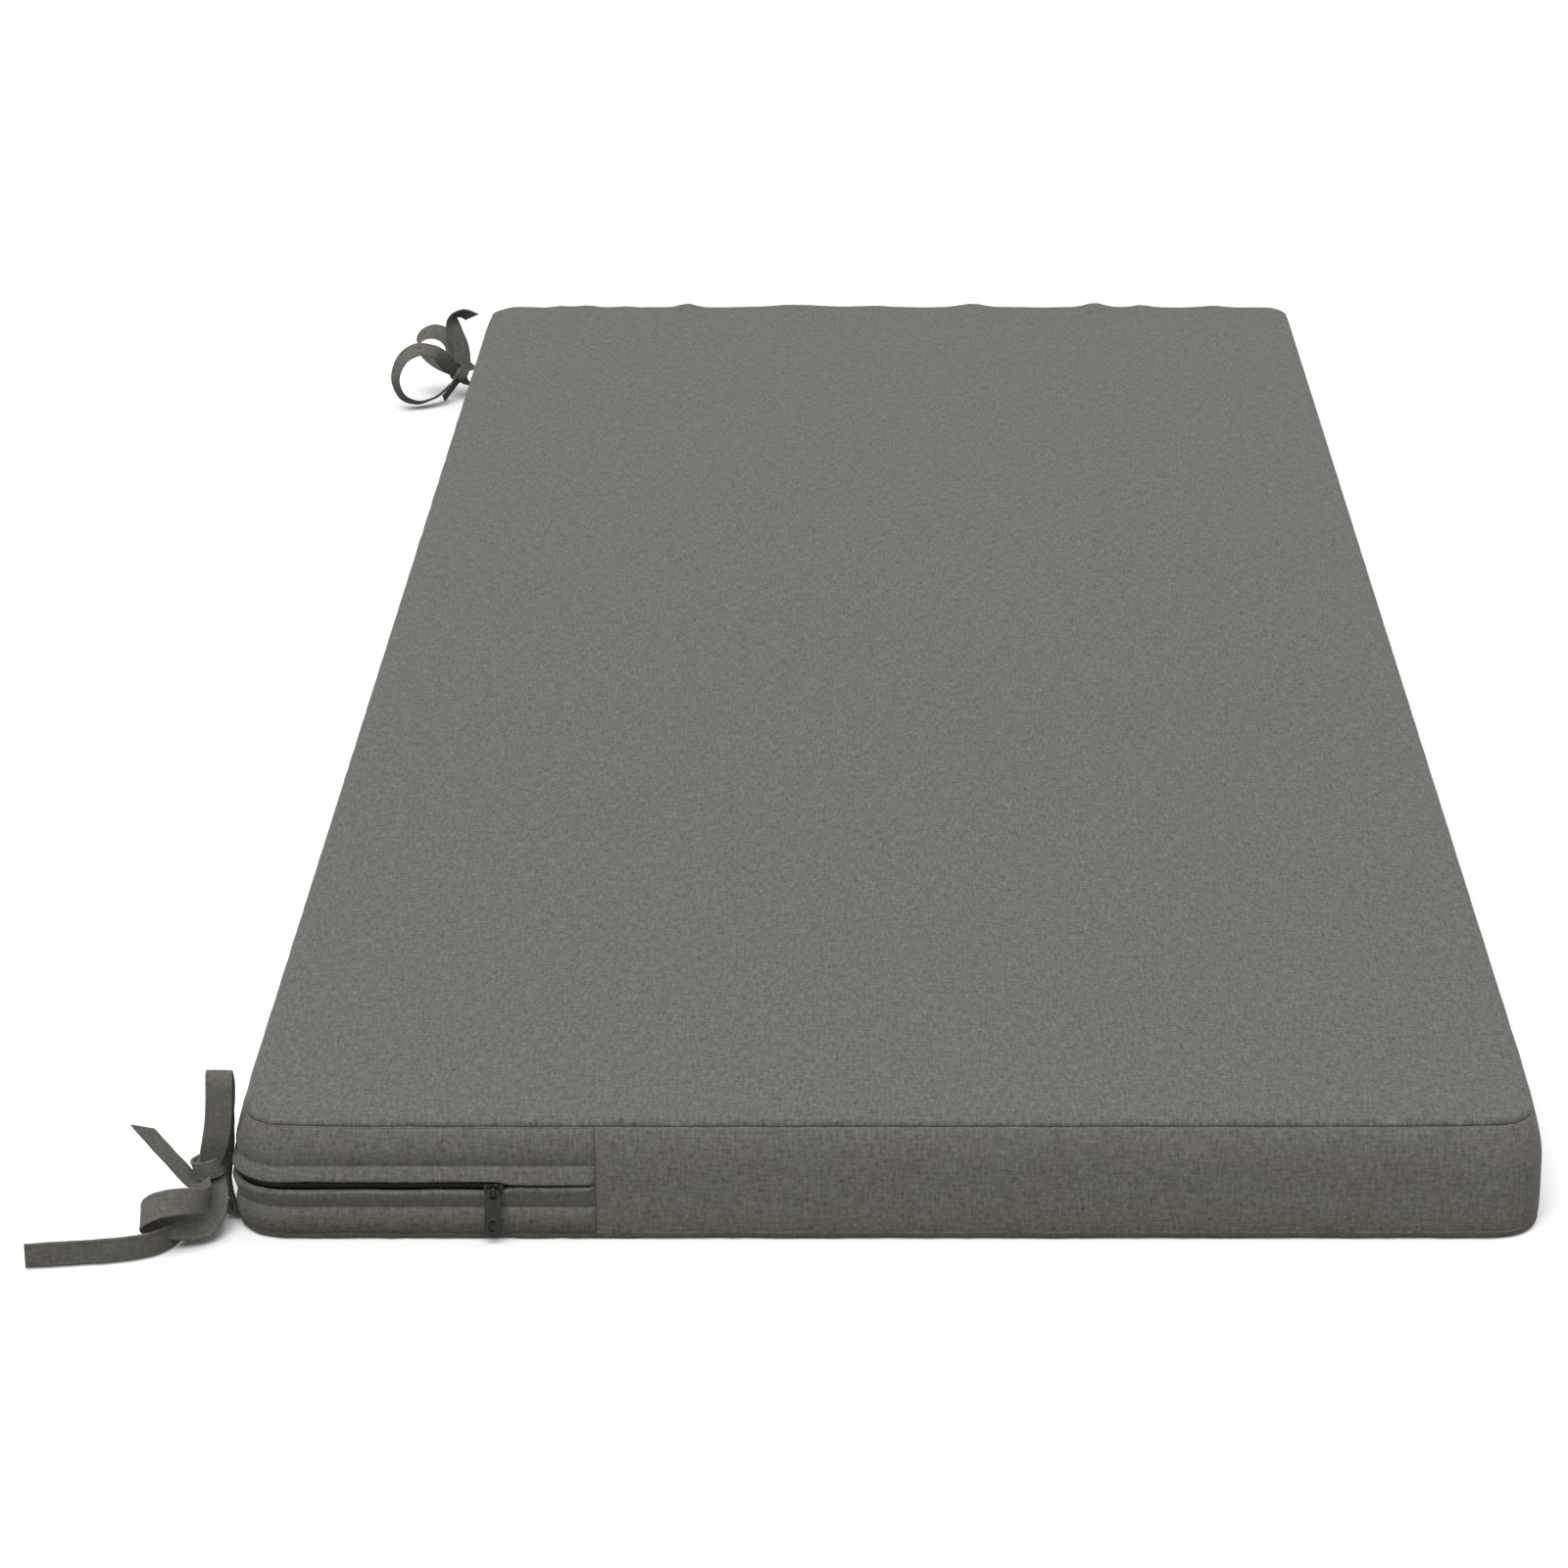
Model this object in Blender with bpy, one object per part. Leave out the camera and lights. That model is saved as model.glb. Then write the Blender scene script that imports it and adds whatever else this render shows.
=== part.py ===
"""A bench cushion: one long filled pad in a sewn cover with a zip and two tied tapes.

The cover has a top panel, a bottom panel and a boxing band round the edge. Round the
left side, from one short side to the other, the band is two strips that are folded
back along a zip. Near each left-hand corner a tape is caught in the bottom seam by its
middle, and its two strands are tied in a bow.

Metres, +Z up. The origin is the centre of the underside. The near short side is at -Y,
the far one at +Y, and the zip and the ties are on the -X side.
"""
import math

import bmesh
import bpy
import numpy as np
from mathutils import Matrix, Vector

MM = 0.001
SMOOTH_ANGLE = 35.0

# Driving sizes of the pad
LENGTH = 1.200
WIDTH = 0.500
THICKNESS = 0.050
CORNER_R = 0.020
SHARPEST_CORNER_R = 0.002

# How finely the outline is divided
SHORT_PITCH = 0.012
LONG_PITCH = 0.040
CORNER_STEPS = 5

# The boxing band between the two seams
BOTTOM_SEAM_Z = 0.00185
TOP_SEAM_Z = 0.0464
BOTTOM_SEAM_INSET = 0.0012
TOP_SEAM_INSET = 0.0034
BAND_SWELL_POWER = 3.0

# The zip in the band
ZIP_END_X = -0.1120
ZIP_END_STEP = 0.0002
SLOT_Z = 0.0224
SLOT_HALF = 0.00165
CLOSED_SLOT_HALF = 0.0003
SLIDER_X = -0.1500
SLOT_CLOSES_AT_X = -0.1420
STRIP_RING_PLACES = (-0.1280, -0.1420, -0.1436, -0.1452, -0.1468, -0.1484, SLIDER_X, -0.1560)
CHAIN_STARTS_AT_X = -0.1508
CHAIN_ENDS_AT_X = -0.1160
FACING_RECESS = 0.0011
CHAIN_RECESS = 0.0034
FACING_END_GAP = 0.0006

# The ties
TAPE_WIDTH = 0.0103
TAPE_THICKNESS = 0.0012
TAPE_STEP_MM = 1.7
TIE_SMOOTH_ANGLE = 50.0


# ---------------------------------------------------------------- helpers

def clear_scene():
    """Remove every object that the file starts with."""
    for thing in list(bpy.data.objects):
        bpy.data.objects.remove(thing, do_unlink=True)


def make_material(name, colour, roughness, metallic=0.0):
    """A Principled material with one colour."""
    material = bpy.data.materials.new(name)
    material.use_nodes = True
    shader = material.node_tree.nodes["Principled BSDF"]
    shader.inputs["Base Color"].default_value = (*colour, 1.0)
    shader.inputs["Roughness"].default_value = roughness
    shader.inputs["Metallic"].default_value = metallic
    return material


def make_object(name, points, faces, material, smooth_angle=SMOOTH_ANGLE):
    """A closed mesh object with its faces turned outward and its round parts smooth."""
    mesh = bpy.data.meshes.new(name)
    mesh.from_pydata([tuple(point) for point in points], [], faces)
    editable = bmesh.new()
    editable.from_mesh(mesh)
    bmesh.ops.recalc_face_normals(editable, faces=editable.faces)
    editable.to_mesh(mesh)
    editable.free()
    mesh.shade_smooth()
    mesh.set_sharp_from_angle(angle=math.radians(smooth_angle))
    mesh.materials.append(material)
    thing = bpy.data.objects.new(name, mesh)
    bpy.context.scene.collection.objects.link(thing)
    return thing


def boolean(host, other, operation):
    """Join `other` to `host`, or cut it out, and take `other` away."""
    modifier = host.modifiers.new(operation.lower(), "BOOLEAN")
    modifier.operation = operation
    modifier.solver = "EXACT"
    modifier.use_self = operation == "UNION"
    modifier.object = other
    bpy.context.view_layer.update()
    evaluated = host.evaluated_get(bpy.context.evaluated_depsgraph_get())
    result = bpy.data.meshes.new_from_object(evaluated)
    host.modifiers.remove(modifier)
    host.data = result
    bpy.data.objects.remove(other, do_unlink=True)


def join_all(name, pieces):
    """One closed body from overlapping pieces."""
    host = pieces[0]
    for piece in pieces[1:]:
        boolean(host, piece, "UNION")
    host.name = name
    host.data.name = name
    return host


def fill_hollows(host):
    """Take away the sealed pockets that crossing strands leave inside a knot.

    The outer skin reaches furthest along X, so every other skin is a pocket's wall.
    """
    editable = bmesh.new()
    editable.from_mesh(host.data)
    unseen = set(editable.verts)
    skins = []
    while unseen:
        skin = {unseen.pop()}
        edge_of_skin = list(skin)
        while edge_of_skin:
            point = edge_of_skin.pop()
            for edge in point.link_edges:
                other = edge.other_vert(point)
                if other not in skin:
                    skin.add(other)
                    edge_of_skin.append(other)
        unseen -= skin
        skins.append(skin)
    outer = min(skins, key=lambda skin: min(point.co.x for point in skin))
    for skin in skins:
        if skin is not outer:
            bmesh.ops.delete(editable, geom=list(skin), context="VERTS")
    editable.to_mesh(host.data)
    editable.free()
    return host


def blend(low, high, value):
    """0 at `low`, 1 at `high`, with a smooth step between them."""
    t = min(max((value - low) / (high - low), 0.0), 1.0)
    return t * t * (3.0 - 2.0 * t)


# ---------------------------------------------------------------- outline of the pad

def straight_places(half, pitch, extra=()):
    """Places along half of a straight side, from its middle to just before its end."""
    count = round(half / pitch)
    regular = [half * i / count for i in range(count)]
    kept = [place for place in regular if all(abs(place - e) > pitch * 0.4 for e in extra)]
    return sorted(kept + list(extra))


def make_stations():
    """Stations clockwise from above, from the middle of the near side to the left.

    Each is (side or corner, value): on a side, the fraction of its straight half-length
    in the direction of travel; on a corner, the turn in radians from where it starts.
    """
    half_x = WIDTH / 2 - CORNER_R
    half_y = LENGTH / 2 - CORNER_R
    zip_end = (-ZIP_END_X, -ZIP_END_X + ZIP_END_STEP)
    short = [place / half_x for place in straight_places(half_x, SHORT_PITCH, zip_end)]
    long = [place / half_y for place in straight_places(half_y, LONG_PITCH)]
    turns = [math.pi / 2 * step / CORNER_STEPS for step in range(CORNER_STEPS + 1)]

    def whole_side(places):
        return [-place for place in reversed(places[1:])] + places

    stations = [("near", place) for place in short]
    stations += [("near_left", turn) for turn in turns]
    stations += [("left", place) for place in whole_side(long)]
    stations += [("far_left", turn) for turn in turns]
    stations += [("far", place) for place in whole_side(short)]
    stations += [("far_right", turn) for turn in turns]
    stations += [("right", place) for place in whole_side(long)]
    stations += [("near_right", turn) for turn in turns]
    stations += [("near", -place) for place in reversed(short[1:])]
    return stations


def outline_point(station, inset):
    """The plan point of a station on the outline drawn in by `inset`."""
    radius = max(CORNER_R - inset, SHARPEST_CORNER_R)
    half_x = WIDTH / 2 - inset
    half_y = LENGTH / 2 - inset
    run_x = half_x - radius
    run_y = half_y - radius
    place, value = station
    if place == "near":
        return -value * run_x, -half_y
    if place == "far":
        return value * run_x, half_y
    if place == "left":
        return -half_x, value * run_y
    if place == "right":
        return half_x, -value * run_y
    sign_x = -1.0 if place.endswith("left") else 1.0
    sign_y = -1.0 if place.startswith("near") else 1.0
    starts_on_short_side = place in ("near_left", "far_right")
    along = math.sin(value) if starts_on_short_side else math.cos(value)
    across = math.cos(value) if starts_on_short_side else math.sin(value)
    return sign_x * (run_x + radius * along), sign_y * (run_y + radius * across)


def band_inset(height):
    """How far the band lies inside its widest outline: it swells between the seams."""
    middle = (BOTTOM_SEAM_Z + TOP_SEAM_Z) / 2
    half = (TOP_SEAM_Z - BOTTOM_SEAM_Z) / 2
    seam_inset = TOP_SEAM_INSET if height > middle else BOTTOM_SEAM_INSET
    return seam_inset * abs((height - middle) / half) ** BAND_SWELL_POWER


# ---------------------------------------------------------------- puckers of the rims

# Puckers of the far top rim: place along X, rise and half-width, in millimetres
FAR_RIM_PUCKERS = (
    (-205.0, 0.9, 6.0),
    (-189.0, 1.1, 7.0),
    (-166.0, 0.7, 6.0),
    (-126.0, 2.4, 6.5),
    (-57.0, 1.6, 22.0),
    (-10.0, 1.0, 12.0),
    (52.0, 2.2, 11.0),
    (128.0, 2.9, 8.0),
    (157.0, 1.5, 6.0),
    (202.0, 0.9, 7.0),
)

# Dips of the near bottom rim, between flat stretches: place, drop and half-width
NEAR_RIM_DIPS = (
    (-216.0, 0.5, 12.0),
    (-186.0, 0.4, 10.0),
    (-156.0, 0.5, 8.0),
    (-134.0, 0.4, 9.0),
    (-96.0, 0.6, 22.0),
    (-30.0, 0.3, 20.0),
    (175.0, 0.4, 8.0),
    (218.0, 0.4, 7.0),
)


def soft_bumps(table, place):
    """Sum of rounded bumps at a place in metres, in metres."""
    return sum(rise * math.exp(-((place / MM - at) / half) ** 2) for at, rise, half in table) * MM


def top_rim_rise(x, y):
    """How far the top rim stands above its seam's own level."""
    near_end = math.exp(-((LENGTH / 2 - y) / 0.020) ** 2)
    return soft_bumps(FAR_RIM_PUCKERS, x) * near_end


def bottom_rim_drop(x, y):
    """How far the bottom rim sags below its own level on the near side."""
    near_end = math.exp(-((LENGTH / 2 + y) / 0.012) ** 2)
    return soft_bumps(NEAR_RIM_DIPS, x) * near_end


# ---------------------------------------------------------------- the pad

# Section of the pad from the underside round to the top, in millimetres: inset from
# the widest outline, height, share of the facing recess, share of the chain recess,
# share of the top rim's puckers and share of the bottom rim's dips
BAND_SECTION = (
    (16.0, 0.00, 0, 0, 0.00, 0.0),
    (7.0, 0.00, 0, 0, 0.00, 0.0),
    (3.4, 0.25, 0, 0, 0.00, 0.4),
    (1.9, 0.65, 0, 0, 0.00, 1.0),
    (1.5, 1.10, 0, 0, 0.00, 0.6),
    (5.0, 1.20, 0, 0, 0.00, 0.0),
    (5.0, 2.50, 0, 0, 0.00, 0.0),
    (None, 2.75, 1, 0, 0.00, 0.0),
    (None, 9.50, 1, 0, 0.00, 0.0),
    (None, 16.40, 1, 0, 0.00, 0.0),
    (None, 16.55, 1, 1, 0.00, 0.0),
    (None, 28.45, 1, 1, 0.00, 0.0),
    (None, 28.60, 1, 0, 0.00, 0.0),
    (None, 38.00, 1, 0, 0.00, 0.0),
    (None, 45.60, 1, 0, 0.00, 0.0),
    (4.6, 46.30, 0, 0, 0.10, 0.0),
    (3.7, 47.10, 0, 0, 0.55, 0.0),
    (5.6, 48.20, 0, 0, 1.00, 0.0),
    (11.0, 48.85, 0, 0, 0.80, 0.0),
    (24.0, 49.10, 0, 0, 0.25, 0.0),
    (70.0, 49.50, 0, 0, 0.00, 0.0),
    (150.0, THICKNESS / MM, 0, 0, 0.00, 0.0),
)


def in_zip_section(x):
    """1 on the part of the outline that has the zip, 0 elsewhere."""
    return 1.0 if x <= ZIP_END_X - ZIP_END_STEP * 0.5 else 0.0


def pad_point(station, row):
    """One point of the pad's surface."""
    inset_mm, height_mm, facing, chain, pucker, dip = row
    height = height_mm * MM
    inset = band_inset(height) if inset_mm is None else inset_mm * MM
    outer_x, outer_y = outline_point(station, 0.0)
    zipped = in_zip_section(outer_x)
    inset += zipped * (facing * FACING_RECESS + chain * (CHAIN_RECESS - FACING_RECESS))
    height += pucker * top_rim_rise(outer_x, outer_y)
    height -= dip * bottom_rim_drop(outer_x, outer_y)
    x, y = outline_point(station, inset)
    return x, y, max(height, 0.0)


def make_cushion(material):
    """The filled pad in its cover, as one closed skin of rings with a fan on each panel."""
    stations = make_stations()
    count = len(stations)
    points = []
    for row in BAND_SECTION:
        points += [pad_point(station, row) for station in stations]
    faces = []
    for ring in range(len(BAND_SECTION) - 1):
        low = ring * count
        high = low + count
        for i in range(count):
            j = (i + 1) % count
            faces.append((low + i, low + j, high + j, high + i))
    crown = len(points)
    points += [(0.0, 0.0, THICKNESS), (0.0, 0.0, 0.0)]
    for start, middle in (((len(BAND_SECTION) - 1) * count, crown), (0, crown + 1)):
        faces += [(start + i, start + (i + 1) % count, middle) for i in range(count)]
    return make_object("cushion", points, faces, material)


# ---------------------------------------------------------------- the zip's strips

# Section of the upper strip, in millimetres: height above the slot's own edge or, from
# the stitch line up, above the underside; how far it stands proud of the band; and
# whether the height is measured from the slot's edge
UPPER_FACING = (
    (0.0, -0.2, True),
    (0.5, 0.7, True),
    (1.8, 1.0, True),
    (3.6, 0.9, True),
    (30.1, 0.3, False),
    (30.5, 0.0, False),
    (31.0, 0.3, False),
    (37.5, 0.5, False),
    (45.6, 0.0, False),
    (45.6, -0.8, False),
    (37.5, -0.8, False),
    (30.5, -0.8, False),
    (3.6, -0.8, True),
    (3.2, -1.7, True),
    (1.5, -1.7, True),
    (0.3, -1.2, True),
)

# Section of the lower strip, measured down from the slot's edge in the same way
LOWER_FACING = (
    (0.0, -0.2, True),
    (-0.5, 0.6, True),
    (-1.8, 0.9, True),
    (-4.4, 0.8, True),
    (13.8, 0.3, False),
    (13.4, 0.0, False),
    (12.9, 0.3, False),
    (9.0, 0.4, False),
    (2.9, 0.0, False),
    (2.9, -0.8, False),
    (9.0, -0.8, False),
    (13.4, -0.8, False),
    (-3.6, -0.8, True),
    (-3.2, -1.7, True),
    (-1.5, -1.7, True),
    (-0.3, -1.2, True),
)

# Section of the zip's tape and coil, in millimetres: height and depth below the band
CHAIN_SECTION = (
    (17.2, 2.2),
    (21.3, 2.2),
    (21.5, 1.0),
    (22.0, 0.7),
    (22.8, 0.7),
    (23.3, 1.0),
    (23.5, 2.2),
    (27.8, 2.2),
    (27.8, 3.1),
    (17.2, 3.1),
)


def zip_run(near_x, far_x, extra=()):
    """Stations along the zip, from X on the near side round to X on the far side."""
    half_x = WIDTH / 2 - CORNER_R
    near = sorted({near_x, *[x for x in extra if x < near_x]}, reverse=True)
    near += [near[-1] + (-half_x - near[-1]) * i / 3 for i in (1, 2)]
    corner = [math.pi / 2 * step / CORNER_STEPS for step in range(CORNER_STEPS + 1)]
    half_y = LENGTH / 2 - CORNER_R
    side = [place / half_y for place in straight_places(half_y, LONG_PITCH)]
    whole = [-place for place in reversed(side[1:])] + side
    run = [("near", -x / half_x) for x in near]
    run += [("near_left", turn) for turn in corner]
    run += [("left", place) for place in whole]
    run += [("far_left", turn) for turn in corner]
    run += [("far", x / half_x) for x in (-half_x + (far_x + half_x) / 2, far_x)]
    return run


def sweep_along_zip(name, run, section_at, material):
    """A strip along the zip: `section_at(station)` gives (inset, height) pairs."""
    points = []
    size = 0
    for station in run:
        section = section_at(station)
        size = len(section)
        for inset, height in section:
            x, y = outline_point(station, inset)
            points.append((x, y, height))
    faces = []
    for step in range(len(run) - 1):
        here = step * size
        there = here + size
        for i in range(size):
            j = (i + 1) % size
            faces.append((here + i, here + j, there + j, there + i))
    faces.append(tuple(range(size)))
    faces.append(tuple(range((len(run) - 1) * size, len(run) * size)))
    return make_object(name, points, faces, material)


def slot_half(station):
    """Half the slot's height: open along the zip, closed beyond the slider."""
    x, y = outline_point(station, 0.0)
    closed = blend(SLIDER_X, SLOT_CLOSES_AT_X, x) if y < 0.0 else 0.0
    return SLOT_HALF + (CLOSED_SLOT_HALF - SLOT_HALF) * closed


def facing_section(table, side):
    """The section of one strip as a function of the station."""
    def at(station):
        edge = SLOT_Z + side * slot_half(station)
        section = []
        for height_mm, proud_mm, from_slot in table:
            height = height_mm * MM + (edge if from_slot else 0.0)
            section.append((band_inset(height) - proud_mm * MM, height))
        return section
    return at


def make_facings(upper_material, lower_material):
    """The two strips that are folded back along the zip."""
    end_x = ZIP_END_X - FACING_END_GAP
    run = zip_run(end_x, end_x, STRIP_RING_PLACES)
    upper = facing_section(UPPER_FACING, 1.0)
    lower = facing_section(LOWER_FACING, -1.0)
    sweep_along_zip("zip_strip_upper", run, upper, upper_material)
    sweep_along_zip("zip_strip_lower", run, lower, lower_material)


def make_chain(material):
    """The zip's tape with the coil along its middle, from the slider to the far end."""
    def section_at(station):
        return [(band_inset(SLOT_Z) + depth * MM, height * MM) for height, depth in CHAIN_SECTION]

    run = zip_run(CHAIN_STARTS_AT_X, CHAIN_ENDS_AT_X)
    sweep_along_zip("zip_chain", run, section_at, material)


# ---------------------------------------------------------------- slider and pull

# Slider: plate in front of the folds, neck between them, and the eye for the pull.
# Sizes are along X, Y and Z.
SLIDER_STANDS_OUT = 0.0024
PLATE_SIZE = (0.0074, 0.0009, 0.0041)
PLATE_FRONT_Y = -LENGTH / 2 - SLIDER_STANDS_OUT
NECK_SIZE = (0.0050, 0.0016, 0.0022)
EYE_SIZE = (0.0016, 0.0026, 0.0034)
EYE_HOLE = (0.0032, 0.0017, 0.0020)
PIECES_SINK_IN = 0.0002
SLIDER_BEVEL = 0.0003

# Pull: a flat tab with a slot at the top for the eye and a round-ended window at its
# end. The lean is in degrees.
PULL_WIDTH = 0.0060
PULL_TOP_WIDTH = 0.0050
PULL_LEAN = 3.2
PULL_LENGTH = 0.0192
PULL_THICKNESS = 0.0010
PULL_SHOULDER = 0.30
PULL_CORNER_CUT = 0.0008
PULL_SLOT = (0.0026, 0.0030)
PULL_SLOT_DROP = 0.0012
PULL_HANGS_CLEAR = 0.0004
PULL_WINDOW = (0.0032, 0.0050)
PULL_WINDOW_FROM_END = 0.0014
WINDOW_STEPS = 6


def box_points(centre, size):
    """The eight corners of a box."""
    x, y, z = centre
    a, b, c = (value / 2 for value in size)
    corners = ((-a, -b), (a, -b), (a, b), (-a, b))
    low = [(x + i, y + j, z - c) for i, j in corners]
    return low + [(x + i, y + j, z + c) for i, j in corners]


BOX_FACES = ((0, 3, 2, 1), (4, 5, 6, 7), (0, 1, 5, 4), (1, 2, 6, 5), (2, 3, 7, 6), (3, 0, 4, 7))


def make_box(name, centre, size, material, bevel=0.0):
    """A box with its edges rounded."""
    thing = make_object(name, box_points(centre, size), BOX_FACES, material)
    if bevel:
        editable = bmesh.new()
        editable.from_mesh(thing.data)
        bmesh.ops.bevel(editable, geom=editable.edges, offset=bevel, segments=2,
                        affect="EDGES", profile=0.5)
        editable.to_mesh(thing.data)
        editable.free()
        thing.data.shade_smooth()
        thing.data.set_sharp_from_angle(angle=math.radians(SMOOTH_ANGLE))
    return thing


def extrude_outline(name, outline, y_front, y_back, material):
    """A plate whose front outline is given in X and Z."""
    count = len(outline)
    points = [(x, y_front, z) for x, z in outline] + [(x, y_back, z) for x, z in outline]
    faces = [tuple(range(count)), tuple(range(count, 2 * count))]
    faces += [(i, (i + 1) % count, count + (i + 1) % count, count + i) for i in range(count)]
    return make_object(name, points, faces, material)


def round_ended(centre_x, low_z, width, height):
    """Points round a slot in X and Z with half-round ends."""
    radius = width / 2
    points = []
    for centre_z, start in ((low_z + height - radius, 0.0), (low_z + radius, math.pi)):
        for step in range(WINDOW_STEPS + 1):
            angle = start + math.pi * step / WINDOW_STEPS
            points.append((centre_x + radius * math.cos(angle), centre_z + radius * math.sin(angle)))
    return points


def make_slider(material):
    """The slider: a plate, a neck between the folds, and a standing eye."""
    plate_y = PLATE_FRONT_Y + PLATE_SIZE[1] / 2
    neck_y = PLATE_FRONT_Y + PLATE_SIZE[1] + NECK_SIZE[1] / 2 - PIECES_SINK_IN
    eye_y = PLATE_FRONT_Y - EYE_SIZE[1] / 2 + PIECES_SINK_IN
    hole_y = PLATE_FRONT_Y - EYE_HOLE[1] / 2
    plate = make_box("plate", (SLIDER_X, plate_y, SLOT_Z), PLATE_SIZE, material, SLIDER_BEVEL)
    neck = make_box("neck", (SLIDER_X, neck_y, SLOT_Z), NECK_SIZE, material)
    eye = make_box("eye", (SLIDER_X, eye_y, SLOT_Z), EYE_SIZE, material, SLIDER_BEVEL)
    hole = make_box("eye_hole", (SLIDER_X, hole_y, SLOT_Z), EYE_HOLE, material)
    boolean(eye, hole, "DIFFERENCE")
    return join_all("zip_slider", [plate, neck, eye])


def pull_outline(top, bottom):
    """The tab's outline in X and Z: narrower at the top, with its corners cut."""
    half = PULL_WIDTH / 2
    top_half = PULL_TOP_WIDTH / 2
    shoulder = top - PULL_LENGTH * PULL_SHOULDER
    cut = PULL_CORNER_CUT
    left = [
        (-top_half + cut, top),
        (-top_half, top - cut),
        (-half, shoulder),
        (-half, bottom + cut),
        (-half + cut, bottom),
    ]
    right = [(-x, z) for x, z in reversed(left)]
    return [(SLIDER_X + x, z) for x, z in left + right]


def make_pull(material):
    """The flat pull tab, hanging from the slider's eye with a slight lean."""
    eye_hole_low = SLOT_Z - EYE_HOLE[2] / 2
    top = eye_hole_low + PULL_HANGS_CLEAR + PULL_SLOT_DROP
    bottom = top - PULL_LENGTH
    y_middle = PLATE_FRONT_Y - EYE_HOLE[1] / 2 - PIECES_SINK_IN
    y_front = y_middle - PULL_THICKNESS / 2
    y_back = y_middle + PULL_THICKNESS / 2
    pull = extrude_outline("zip_pull", pull_outline(top, bottom), y_front, y_back, material)
    slot_wide, slot_tall = PULL_SLOT
    slot_z = top - PULL_SLOT_DROP - slot_tall / 2
    slot_size = (slot_wide, PULL_THICKNESS * 3, slot_tall)
    slot = make_box("pull_slot", (SLIDER_X, y_middle, slot_z), slot_size, material)
    boolean(pull, slot, "DIFFERENCE")
    ring = round_ended(SLIDER_X, bottom + PULL_WINDOW_FROM_END, *PULL_WINDOW)
    window = extrude_outline("pull_window", ring, y_front - PULL_THICKNESS,
                             y_back + PULL_THICKNESS, material)
    boolean(pull, window, "DIFFERENCE")
    eye = Matrix.Translation((SLIDER_X, y_middle, SLOT_Z))
    lean = Matrix.Rotation(math.radians(PULL_LEAN), 4, "Y")
    pull.data.transform(eye @ lean @ eye.inverted())
    return pull


# ---------------------------------------------------------------- the ties

# Each strand is a list of places on the middle of the tape, in millimetres from the
# knot, with the direction across the tape and the share of its full width there.
# Columns: x, y, z, across x, across y, across z, width

NEAR_KNOT = (-260.0, -583.0, 24.5)

NEAR_STANDING_LOOP = (
    (14.4, 5.0, -22.65, 0.0, 1.0, 0.0, 1.0),
    (11.6, 5.0, -22.65, 0.0, 1.0, 0.0, 1.0),
    (9.2, 5.0, -22.5, 0.0, 1.0, 0.0, 1.0),
    (7.0, 5.2, -18.8, 0.0, 0.98, -0.1, 1.0),
    (5.8, 5.6, -12.0, 0.05, 0.95, -0.25, 1.0),
    (5.2, 6.0, -6.5, 0.05, 0.94, -0.3, 1.0),
    (5.2, 6.2, -1.0, 0.1, 0.95, -0.25, 1.0),
    (5.3, 5.8, 5.0, 0.3, 0.93, -0.1, 1.0),
    (5.2, 4.9, 12.0, 0.6, 0.8, 0.0, 1.0),
    (5.0, 3.7, 20.0, 0.85, 0.5, 0.0, 1.0),
    (5.4, 2.6, 28.0, 0.97, 0.2, 0.0, 1.0),
    (5.6, 1.5, 35.0, 1.0, 0.0, 0.0, 1.0),
    (5.6, -1.2, 38.7, 1.0, 0.0, 0.0, 1.0),
    (5.6, -4.0, 35.4, 1.0, 0.0, 0.0, 1.0),
    (5.4, -4.8, 28.0, 1.0, 0.0, 0.0, 1.0),
    (4.6, -5.0, 19.0, 0.99, 0.0, 0.1, 1.0),
    (3.2, -4.8, 11.0, 0.98, 0.0, 0.15, 1.0),
    (1.5, -3.6, 5.0, 0.97, 0.0, 0.2, 0.92),
    (0.0, -1.8, -1.5, 0.98, 0.0, 0.2, 0.75),
)

NEAR_SIDE_LOOP = (
    (1.2, -0.6, -4.0, -1.0, 0.0, 0.0, 0.7),
    (3.0, -4.0, -8.5, -0.97, 0.05, 0.25, 0.75),
    (2.9, -11.0, -13.0, -0.85, 0.2, 0.45, 0.9),
    (0.4, -18.0, -16.8, -0.5, 0.45, 0.75, 1.0),
    (-6.1, -22.5, -17.4, -0.1, 0.5, 0.86, 1.0),
    (-13.9, -25.0, -15.4, 0.0, 0.5, 0.86, 1.0),
    (-19.7, -25.8, -13.2, 0.0, 0.55, 0.83, 1.0),
    (-22.5, -27.6, -10.4, 0.0, 0.65, 0.76, 1.0),
    (-21.2, -29.8, -7.0, 0.0, 0.65, 0.76, 1.0),
    (-17.0, -30.5, -4.0, 0.0, 0.55, 0.83, 1.0),
    (-10.9, -30.0, -2.6, 0.0, 0.5, 0.86, 1.0),
    (-5.1, -28.0, -3.0, 0.0, 0.45, 0.89, 1.0),
    (0.2, -23.0, -5.2, 0.1, 0.3, 0.95, 1.0),
    (0.9, -16.0, -6.6, 0.2, 0.2, 0.95, 0.95),
    (-1.2, -9.0, -6.6, 0.4, 0.2, 0.88, 0.85),
    (-2.4, -2.0, -5.0, 0.8, 0.2, 0.5, 0.7),
)

NEAR_FREE_END = (
    (-1.6, 1.6, -7.8, 0.1, 0.99, 0.1, 0.7),
    (-4.2, 0.6, -8.8, 0.1, 0.99, 0.1, 0.85),
    (-7.4, -0.4, -7.2, 0.14, 0.98, 0.11, 1.0),
    (-11.4, -1.0, -2.2, 0.14, 0.98, 0.11, 1.0),
    (-19.4, -1.2, 8.2, 0.14, 0.98, 0.11, 1.0),
    (-27.6, -1.3, 19.2, 0.14, 0.98, 0.11, 1.0),
)

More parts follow.
